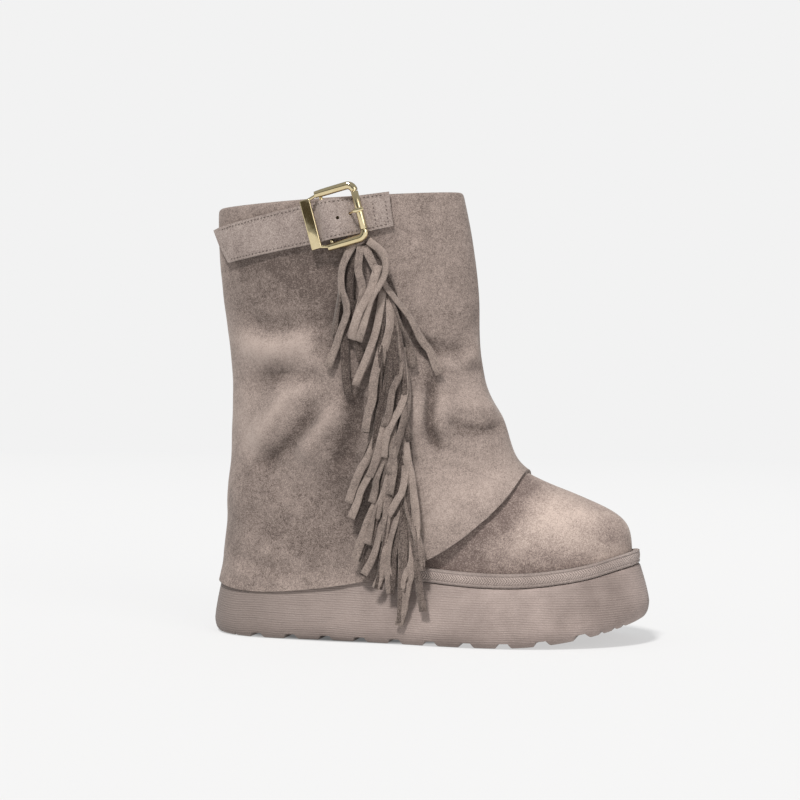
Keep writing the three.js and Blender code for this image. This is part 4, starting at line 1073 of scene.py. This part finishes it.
# two rows across the sewn front end and one, on the skew, across the back end
for along, skew, half in ((0.0315, 0, 0.0088), (0.0394, 0, 0.0088), (-0.0790, 0.38 * STRAP_SKEW, 0.0095)):
    strap_rows += stitch_row(strap_tree, [
        strap_place(along - mix(-skew, skew, i / 60), mix(-half, half, i / 60)) for i in range(61)])
strap_thread = add_ring_mesh("strap_stitches", strap_rows)
shade_smooth(strap_thread, 60)


def build_thread():
    material, tree, shader = new_material("matching_thread")
    wire = Wiring(tree)
    place = wire.place()
    twist = wire.noise(place, 3000, 1)
    wire.join(wire.blend(twist, srgb(62, 51, 46), srgb(104, 90, 82)), shader.inputs["Base Color"])
    wire.join(wire.span(twist, 0.3, 0.7, 0.6, 0.8), shader.inputs["Roughness"])
    shader.inputs["Sheen Weight"].default_value = 0.2
    return material


thread_finish = build_thread()
strap_thread.data.materials.append(thread_finish)
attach(strap_thread, "root")


# Buckle: cast zinc, polished and plated pale gold. A U-shaped frame and a flat keeper stand on a centre
# bar, a tube rolls on the frame's outer pin, and the prong's ring turns on the centre bar.
BUCKLE_PLACE = Vector((0.035, -0.03319, 0.27204))
BUCKLE_TILT = math.radians(15)
BUCKLE_YAW = math.radians(2.34)
FRAME_REACH = 0.0232
FRAME_HALF = 0.0177
FRAME_TUBE = 0.0026
FRAME_CORNER = 0.0045
FRAME_OUT = 0.00555
PIN_RADIUS = 0.0011
PIN_HALF = 0.0137
ROLLER_RADIUS = 0.00235
ROLLER_HALF = 0.0126
BAR_RADIUS = 0.0012
BAR_OUT = 0.00265
BAR_NECK = 0.00075
NECK_HALF = 0.0014
KEEPER_X = -0.0102
KEEPER_SIZE = (0.007, 0.0332, 0.0022)
ROD_RADIUS = 0.001
PRONG_RADIUS = 0.0007
RING_RADIUS = 0.00165
PRONG_OVER = 0.0036
HOLE_X = 0.0177

out = Vector((math.sin(BUCKLE_YAW), -math.cos(BUCKLE_YAW), 0.0066)).normalized()
lengthwise = Vector((math.cos(BUCKLE_TILT), 0, math.sin(BUCKLE_TILT)))
lengthwise = (lengthwise - out * lengthwise.dot(out)).normalized()
crosswise = out.cross(lengthwise)
buckle_matrix = Matrix.Translation(BUCKLE_PLACE) @ Matrix((lengthwise, crosswise, out)).transposed().to_4x4()


def add_rod(name, points, radius, radii=None):
    """A round rod along a line of points, in the buckle's own frame, with closed ends."""
    curve = bpy.data.curves.new(name, "CURVE")
    curve.dimensions = "3D"
    curve.bevel_depth = radius
    curve.bevel_resolution = 6
    curve.use_fill_caps = True
    spline = curve.splines.new("POLY")
    spline.points.add(len(points) - 1)
    for i, point in enumerate(points):
        spline.points[i].co = (*point, 1)
        spline.points[i].radius = radii[i] if radii else 1
    rod = bpy.data.objects.new(name, curve)
    bpy.context.collection.objects.link(rod)
    select_only(rod)
    bpy.ops.object.convert(target="MESH")
    return bpy.context.object


def join_pieces(pieces, name):
    bpy.ops.object.select_all(action="DESELECT")
    for piece in pieces:
        piece.select_set(True)
    bpy.context.view_layer.objects.active = pieces[0]
    if len(pieces) > 1:
        bpy.ops.object.join()
    joined = bpy.context.object
    joined.name = joined.data.name = name
    return joined


def arm_points(side):
    corner, high = FRAME_REACH - FRAME_CORNER, FRAME_HALF - FRAME_CORNER
    points = [(mix(-FRAME_TUBE, corner, t / 5), side * FRAME_HALF, FRAME_OUT) for t in range(6)]
    for i in range(1, 9):
        turn = math.pi / 2 * i / 8
        x = corner + FRAME_CORNER * math.sin(turn)
        points.append((x, side * (high + FRAME_CORNER * math.cos(turn)), FRAME_OUT))
    return points


frame_rods = []
for side in (-1, 1):
    arm = arm_points(side)
    swell = [0.86, 0.97] + [1.0] * (len(arm) - 3) + [0.96]
    frame_rods.append(add_rod("arm", arm, FRAME_TUBE, swell))
    keeper_end = (KEEPER_X, side * (KEEPER_SIZE[1] / 2 - 0.0015), FRAME_OUT)
    frame_rods.append(add_rod("keeper_rod", [keeper_end, (0, side * FRAME_HALF, FRAME_OUT)], ROD_RADIUS))
    frame_rods.append(add_rod("post", [
        (0, side * FRAME_HALF, BAR_OUT - BAR_RADIUS), (0, side * FRAME_HALF, FRAME_OUT)], BAR_RADIUS))
    frame_rods.append(add_rod("bar_half", [
        (0, side * NECK_HALF, BAR_OUT), (0, side * (FRAME_HALF + BAR_RADIUS), BAR_OUT)], BAR_RADIUS))
for name, x, half, height, radius in (
        ("bar_neck", 0, NECK_HALF * 1.5, BAR_OUT, BAR_NECK),
        ("pin", FRAME_REACH, PIN_HALF, FRAME_OUT, PIN_RADIUS)):
    frame_rods.append(add_rod(name, [(x, -half, height), (x, half, height)], radius))
bpy.ops.object.select_all(action="DESELECT")
bpy.ops.mesh.primitive_cube_add(size=1)
keeper = bpy.context.object
for vertex in keeper.data.vertices:
    vertex.co = Vector((KEEPER_X, 0, FRAME_OUT)) + Vector(a * b for a, b in zip(vertex.co, KEEPER_SIZE))
round_edges(keeper, 0.00075, 4, 30)
buckle_frame = join_pieces([keeper] + frame_rods, "buckle_frame_gold")
buckle_frame.data.transform(buckle_matrix)
shade_smooth(buckle_frame, 40)


def roller_ring(radius, y):
    turns = [math.tau * k / 40 for k in range(40)]
    return [
        Vector((FRAME_REACH + radius * math.cos(turn), y, FRAME_OUT + radius * math.sin(turn))) for turn in turns]


roller = close_rings("buckle_roller_gold", [
    roller_ring(radius, y)
    for radius, y in (
        (0.00140, -ROLLER_HALF), (0.00200, -ROLLER_HALF), (0.00225, -ROLLER_HALF + 0.0001),
        (ROLLER_RADIUS, -ROLLER_HALF + 0.0003), (ROLLER_RADIUS, 0.0), (ROLLER_RADIUS, ROLLER_HALF - 0.0003),
        (0.00225, ROLLER_HALF - 0.0001), (0.00200, ROLLER_HALF), (0.00140, ROLLER_HALF), (0.00140, 0.0))
])
roller.data.transform(buckle_matrix)
shade_smooth(roller, 40)

over = FRAME_OUT + ROLLER_RADIUS + 0.0003 + PRONG_RADIUS
under = 0.0003 + PRONG_RADIUS
tongue_line = [
    # along from the centre bar, and out from the shaft
    (0.0, under), (0.0045, under), (0.0089, under), (0.0125, under + 0.0001), (0.0143, under + 0.0002),
    (0.0156, under + 0.0011), (0.0166, under + 0.0026), (HOLE_X, (under + over) / 2),
    (0.0189, over - 0.0020), (0.0202, over - 0.0008), (0.0216, over - 0.0002), (0.0235, over),
    (0.0252, over), (FRAME_REACH + PRONG_OVER, over),
]
tongue_swell = [1.0] * 12 + [0.95, 0.7]
tongue = add_rod("tongue", [(x, 0, z) for x, z in tongue_line], PRONG_RADIUS, tongue_swell)
for vertex in tongue.data.vertices:  # its tip is pressed wide where it lies on the roller
    vertex.co.y *= mix(1, 1.9, smooth((vertex.co.x - HOLE_X) / 0.004))
bpy.ops.object.select_all(action="DESELECT")
bpy.ops.mesh.primitive_torus_add(
    major_radius=RING_RADIUS, minor_radius=PRONG_RADIUS, major_segments=32, minor_segments=12,
    location=(0, 0, BAR_OUT), rotation=(math.pi / 2, 0, 0))
hoop = bpy.context.object
bpy.ops.object.transform_apply(location=True, rotation=True, scale=True)
prong = join_pieces([tongue, hoop], "buckle_prong_gold")
prong.data.transform(buckle_matrix)
shade_smooth(prong, 40)


def build_gold():
    material, tree, shader = new_material("pale_gold_plate")
    wire = Wiring(tree)
    place = wire.place()
    cloud = wire.noise(place, 160, 3)
    rub = wire.noise(place, 900, 3)
    wire.join(wire.blend(cloud, srgb(212, 192, 146), srgb(236, 222, 184)), shader.inputs["Base Color"])
    shader.inputs["Metallic"].default_value = 1.0
    wire.join(wire.span(rub, 0.3, 0.7, 0.06, 0.16), shader.inputs["Roughness"])
    swell = wire.noise(place, 120, 1)
    wire.bump(swell, shader, strength=0.35, distance=0.0004)
    return material


gold_plate = build_gold()
for piece, node in ((buckle_frame, "buckle_frame"), (roller, "buckle_roller"), (prong, "buckle_prong")):
    piece.data.materials.append(gold_plate)
    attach(piece, "root")
    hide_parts(node)


# Fringe: strips of the shaft's cloth cut 5 mm wide, sewn in tiers along a narrow band down the outer
# side seam. They hang in front of each other, turned and bowed, and the lowest reach over the sole.
# the strips further back, and the band behind them, are painted darker as shade
BAND_ROWS = [
    # share of the way down, share of the sole's length, share of the height
    (0.00, 0.386, 0.868), (0.10, 0.412, 0.815), (0.20, 0.437, 0.765), (0.30, 0.455, 0.705),
    (0.60, 0.478, 0.480), (0.80, 0.489, 0.350), (0.92, 0.493, 0.265), (1.00, 0.508, 0.215),
]
STRIP_ROWS = [
    # start down the band, the tip's share of the length and of the height, bow in widths, turn in degrees
    (0.20, 0.408, 0.399, 1.0, 30), (0.26, 0.446, 0.416, 0.9, 50), (0.30, 0.447, 0.346, 1.3, -15),
    (0.33, 0.499, 0.383, 0.8, 35), (0.37, 0.415, 0.299, 1.2, -40), (0.41, 0.397, 0.272, 1.0, 20),
    (0.47, 0.460, 0.249, 0.9, 45), (0.50, 0.365, 0.230, 1.1, -30), (0.56, 0.431, 0.190, 0.8, -50),
    (0.59, 0.460, 0.201, 1.2, 15), (0.63, 0.447, 0.132, 1.0, -35), (0.69, 0.381, 0.086, 1.1, -20),
    (0.72, 0.512, 0.091, 0.9, 40), (0.78, 0.530, 0.069, 1.0, 20), (0.81, 0.431, 0.020, 1.4, -45),
    (0.84, 0.465, 0.009, 1.0, 35), (0.87, 0.497, 0.020, 1.2, -15), (0.90, 0.534, -0.003, 0.9, 25),
    (0.94, 0.487, -0.060, 1.1, -35), (0.98, 0.541, -0.029, 1.3, 50),
    (0.16, 0.460, 0.500, 0.7, -25), (0.18, 0.424, 0.470, 1.1, 60), (0.23, 0.424, 0.392, 0.7, -20),
    (0.28, 0.470, 0.430, 1.2, 30), (0.35, 0.478, 0.340, 0.6, -55), (0.39, 0.451, 0.305, 0.8, 10),
    (0.44, 0.425, 0.285, 0.6, -65), (0.49, 0.480, 0.260, 0.7, 25), (0.52, 0.370, 0.211, 0.8, 40),
    (0.54, 0.372, 0.189, 0.6, -20), (0.61, 0.485, 0.180, 0.6, -30), (0.66, 0.411, 0.121, 0.9, 50),
    (0.70, 0.470, 0.110, 0.6, 15), (0.75, 0.500, 0.130, 0.7, -60), (0.77, 0.399, 0.050, 0.9, 30),
    (0.80, 0.450, 0.070, 0.6, -25), (0.85, 0.515, 0.050, 0.6, 45), (0.89, 0.475, 0.030, 0.7, -50),
    (0.93, 0.508, 0.015, 0.8, 20),
]
TOP_STRIPS = [
    # the strips under the buckle, from the back ones to the front ones: places, bow in widths, turn, and tone,
    # which is painted shade, darkest for the back ones
    ([(0.371, 0.860), (0.357, 0.764), (0.366, 0.666), (0.387, 0.575)], 0.1, 8, -0.45),
    ([(0.364, 0.727), (0.352, 0.641), (0.352, 0.560), (0.359, 0.496)], 0.2, -12, -0.40),
    ([(0.352, 0.860), (0.334, 0.727), (0.325, 0.641)], 0.3, 40, -0.30),
    ([(0.437, 0.751), (0.457, 0.697), (0.475, 0.638), (0.496, 0.560)], 0.4, 50, -0.20),
    ([(0.364, 0.865), (0.345, 0.816), (0.341, 0.757), (0.355, 0.698), (0.336, 0.629), (0.313, 0.560)],
     0.8, 20, 0.02),
    ([(0.387, 0.860), (0.419, 0.790), (0.451, 0.736), (0.487, 0.682), (0.518, 0.614), (0.550, 0.543)],
     0.7, -38, 0.05),
    ([(0.451, 0.707), (0.462, 0.604), (0.471, 0.506), (0.475, 0.409)], 0.5, 25, -0.10),
    ([(0.446, 0.731), (0.446, 0.658), (0.435, 0.604), (0.426, 0.565)], 0.9, -20, 0.12),
    ([(0.432, 0.761), (0.421, 0.665), (0.398, 0.580), (0.375, 0.516)], 1.0, 14, 0.10),
    ([(0.380, 0.860), (0.378, 0.801), (0.389, 0.747), (0.378, 0.690), (0.362, 0.634)], 1.2, -10, 0.0),
    ([(0.396, 0.872), (0.428, 0.839), (0.435, 0.788), (0.410, 0.727), (0.391, 0.658), (0.380, 0.624)],
     1.7, 30, 0.18),
    ([(0.419, 0.810), (0.405, 0.746), (0.380, 0.688), (0.366, 0.629)], 1.5, 6, 0.22),
]
LOW_STRIPS = [
    # the strips lower down, from the upper ones, which hang in front, to the lower ones: the same values,
    # without the start, which strip_start works out from the band
    ([(0.422, 0.563), (0.417, 0.519), (0.419, 0.474), (0.410, 0.401)], 0.5, -10, -0.02),
    ([(0.468, 0.548), (0.457, 0.497), (0.455, 0.445), (0.448, 0.415)], 0.3, 24, -0.16),
    ([(0.492, 0.460), (0.482, 0.408), (0.470, 0.371), (0.455, 0.303)], 0.4, -30, -0.10),
    ([(0.463, 0.386), (0.466, 0.319), (0.459, 0.251)], 0.4, 12, -0.04),
    ([(0.442, 0.393), (0.428, 0.341), (0.413, 0.298)], 0.6, -14, 0.06),
    ([(0.482, 0.478), (0.463, 0.424), (0.450, 0.386), (0.444, 0.346)], 0.8, 16, 0.14),
    ([(0.431, 0.304), (0.427, 0.267), (0.419, 0.231)], 0.4, 22, -0.08),
    ([(0.419, 0.363), (0.394, 0.311), (0.375, 0.266), (0.364, 0.230)], 0.8, -12, 0.10),
    ([(0.402, 0.281), (0.387, 0.236), (0.370, 0.190)], 0.9, 18, 0.12),
    ([(0.457, 0.238), (0.453, 0.179), (0.446, 0.133)], 0.4, -16, -0.06),
    ([(0.428, 0.230), (0.417, 0.170), (0.408, 0.125)], 0.5, 28, -0.02),
    ([(0.453, 0.282), (0.441, 0.234), (0.428, 0.191)], 0.8, -20, 0.10),
    ([(0.489, 0.275), (0.476, 0.235), (0.457, 0.199)], 0.9, 14, 0.14),
    ([(0.419, 0.207), (0.398, 0.147), (0.379, 0.088)], 0.6, -22, 0.08),
    ([(0.441, 0.171), (0.427, 0.104), (0.402, 0.053)], 0.5, 16, 0.04),
    ([(0.498, 0.231), (0.516, 0.165), (0.531, 0.114), (0.534, 0.069)], 0.4, -34, -0.10),
    ([(0.457, 0.134), (0.449, 0.075), (0.429, 0.021)], 0.5, -14, 0.06),
    ([(0.476, 0.201), (0.463, 0.134), (0.459, 0.075), (0.464, 0.010)], 0.7, 20, 0.02),
    ([(0.513, 0.106), (0.501, 0.010), (0.483, -0.067)], 0.4, 12, 0.04),
    ([(0.516, 0.107), (0.504, 0.062), (0.494, 0.017)], 0.9, -24, 0.14),
    ([(0.490, 0.353), (0.506, 0.276), (0.519, 0.188), (0.516, 0.092)], 1.0, 10, 0.18),
]
STRIP_WIDTH = 0.005
STRIP_THICK = 0.0011
BAND_WIDTH = 0.008
HEM_ROWS = [
    # share of the sole's length, share of the hem's rise
    (0.0, 0.07), (0.082, 0.005), (0.164, 0.0), (0.252, 0.028), (0.36, 0.089), (0.418, 0.135), (0.548, 0.33),
    (0.61, 0.49), (0.688, 0.76),
]
HEM_RISE = 0.0742
shaft_tree = surface_tree(shaft)


def calm_surface(x, z):
    """The shaft's surface, averaged over a strip's width so that a strip bridges the narrow folds."""
    place, normal = Vector(), Vector()
    for dx, dz in ((0, 0), (0.004, 0), (-0.004, 0), (0, 0.005), (0, -0.005)):
        near, facing = outer_surface(shaft_tree, x + dx, z + dz)
        place += near / 5
        normal += facing / 5
    nearest, _ = outer_surface(shaft_tree, x, z)
    return Vector((x, min(place.y, nearest.y), z)), normal.normalized()


def hang_place(x, z, off):
    """A place in front of the outer side; under the hem it stays clear of the sole's widest line."""
    low = HEM_LOW + HEM_RISE * read(HEM_ROWS, sole_share(x), 1) + 0.005
    place, normal = calm_surface(x, max(z, low))
    place = place + normal * off
    if z >= low:
        return place, normal
    share = clamp((low - z) / RAND_HEIGHT)
    side = outline_point(math.acos(1 - 2 * clamp(sole_share(x)))).y - 0.0028
    return Vector((place.x, min(place.y, mix(place.y, side, share)), z)), Vector((0, -1, 0))


def ribbon(places, width, turns, curl=0.0):
    """A flat strip along places, each a point and a normal, turned about its run."""
    rings = []
    for i, (middle, normal) in enumerate(places):
        run = (places[min(i + 1, len(places) - 1)][0] - places[max(i - 1, 0)][0]).normalized()
        side = run.cross(normal).normalized()
        face = side.cross(run).normalized()
        turn = Matrix.Rotation(turns[i], 3, run)
        side, face = turn @ side, turn @ face
        half, thick = width / 2, STRIP_THICK / 2
        rings.append([
            middle + side * across * half + face * (up * thick + curl * (1 - across * across))
            for across, up in ((-1, -1), (0, -1), (1, -1), (1, 1), (0, 1), (-1, 1))])
    return rings


def strip_start(place):
    """The start of a lower strip: above its first place and most of the way over to the band.

    It is given to a thousandth, like the places in the tables.
    """
    rows = sorted((height, share) for _, share, height in BAND_ROWS)
    up = place[1] + START_RISE
    level = clamp(up, rows[0][0], rows[-1][0])
    for (low, a), (high, b) in zip(rows, rows[1:]):
        if level <= high:
            share = mix(place[0], mix(a, b, (level - low) / (high - low)), START_OVER)
            return round(share, 3), round(up, 3)


START_RISE = 0.13  # share of the height
START_OVER = 0.75  # share of the way over to the band
TIER_DEPTH = 0.0018
STRIP_STEPS = 15
chance = random.Random(7)
strips, shade_and_nap_tones = [], []
for down, tip, low, bow, turn in STRIP_ROWS:
    start = fold_place(read(BAND_ROWS, down, 1), read(BAND_ROWS, down, 2))
    end = fold_place(tip, low)
    wobble, phase = chance.uniform(-0.0016, 0.0016), chance.uniform(1.2, 2.2)
    tier = chance.uniform(0.0, TIER_DEPTH)
    places, turns = [], []
    for i in range(STRIP_STEPS + 1):
        t = i / STRIP_STEPS
        swing = mix(t * t, t * (2 - t), 0.35)
        bulge = (bow * 0.42 * math.sin(t * 0.8 * math.pi) + t * 0.2) * STRIP_WIDTH
        off = 0.0012 + tier + STRIP_THICK + bulge
        x = mix(start.x, end.x, swing) + wobble * math.sin(t * math.pi * phase)
        places.append(hang_place(x, mix(start.y, end.y, t), off))
        turns.append(math.radians(turn) * (0.5 * min(t * 2, 1) + 0.3 * math.sin(t * 4 + wobble * 900)))
    width = STRIP_WIDTH * chance.uniform(0.96, 1.12)
    strips.append(ribbon(places, width, turns, chance.uniform(-0.0004, 0.0004)))
    # painted shade: the strips that hang nearer the shaft, behind the others, are darker, with a little random
    # tone
    shade_and_nap_tones.append(mix(-0.75, -0.25, tier / TIER_DEPTH) + chance.uniform(-0.08, 0.08))
for order, (points, bow, turn, depth_shade_and_tone) in enumerate(LOW_STRIPS + TOP_STRIPS):
    low = order < len(LOW_STRIPS)
    if low:
        points = [strip_start(points[0]), *points]
    front = mix(0.0056, 0.0024, order / len(LOW_STRIPS)) if low else 0.0
    rows = [(k / (len(points) - 1), *point) for k, point in enumerate(points)]
    places, turns = [], []
    for i in range(STRIP_STEPS + 4):
        t = i / (STRIP_STEPS + 3)
        spot = fold_place(read(rows, t, 1), read(rows, t, 2))
        bulge = bow * STRIP_WIDTH * (0.55 * math.sin(t * math.pi) + 0.25) * (0.45 if low else 1)
        off = 0.0016 + STRIP_THICK + bulge + front * smooth(t * 2.4)
        places.append(hang_place(spot.x, spot.y, off))
        turns.append(math.radians(turn) * (0.4 + math.sin(t * 3.6)))
    width = STRIP_WIDTH * chance.uniform(1.0, 1.14)
    strips.append(ribbon(places, width, turns, chance.uniform(-0.0003, 0.0003)))
    shade_and_nap_tones.append(depth_shade_and_tone)
band_places = []
for i in range(33):
    spot = fold_place(read(BAND_ROWS, i / 32, 1), read(BAND_ROWS, i / 32, 2))
    place, normal = calm_surface(spot.x, spot.y)
    band_places.append((place + normal * 0.0014, normal))
strips.append(ribbon(band_places, BAND_WIDTH, [0.0] * 33))
# painted shade on the band behind the strips
shade_and_nap_tones.append(-0.5)
fringe = add_ring_mesh("side_fringe", strips)
depth_shade_and_tone = fringe.data.attributes.new("fold", "FLOAT", "POINT")
first = 0
for rings, shade in zip(strips, shade_and_nap_tones):
    for i in range(len(rings) * len(rings[0])):
        depth_shade_and_tone.data[first + i].value = shade
    first += len(rings) * len(rings[0])
round_edges(fringe, 0.00022, 1, 60)
shade_smooth(fringe, 50)
# its dark end lies below the cuff's, for the painted shade between and behind the strips
fringe_suede = build_brushed(
    "fringe_suede", srgb(62, 53, 49), srgb(170, 154, 144), cloud_scale=60, contrast=0.75,
    relief=0.00015, folds=True)
fringe.data.materials.append(fringe_suede)
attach(fringe, "root")
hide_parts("fringe")
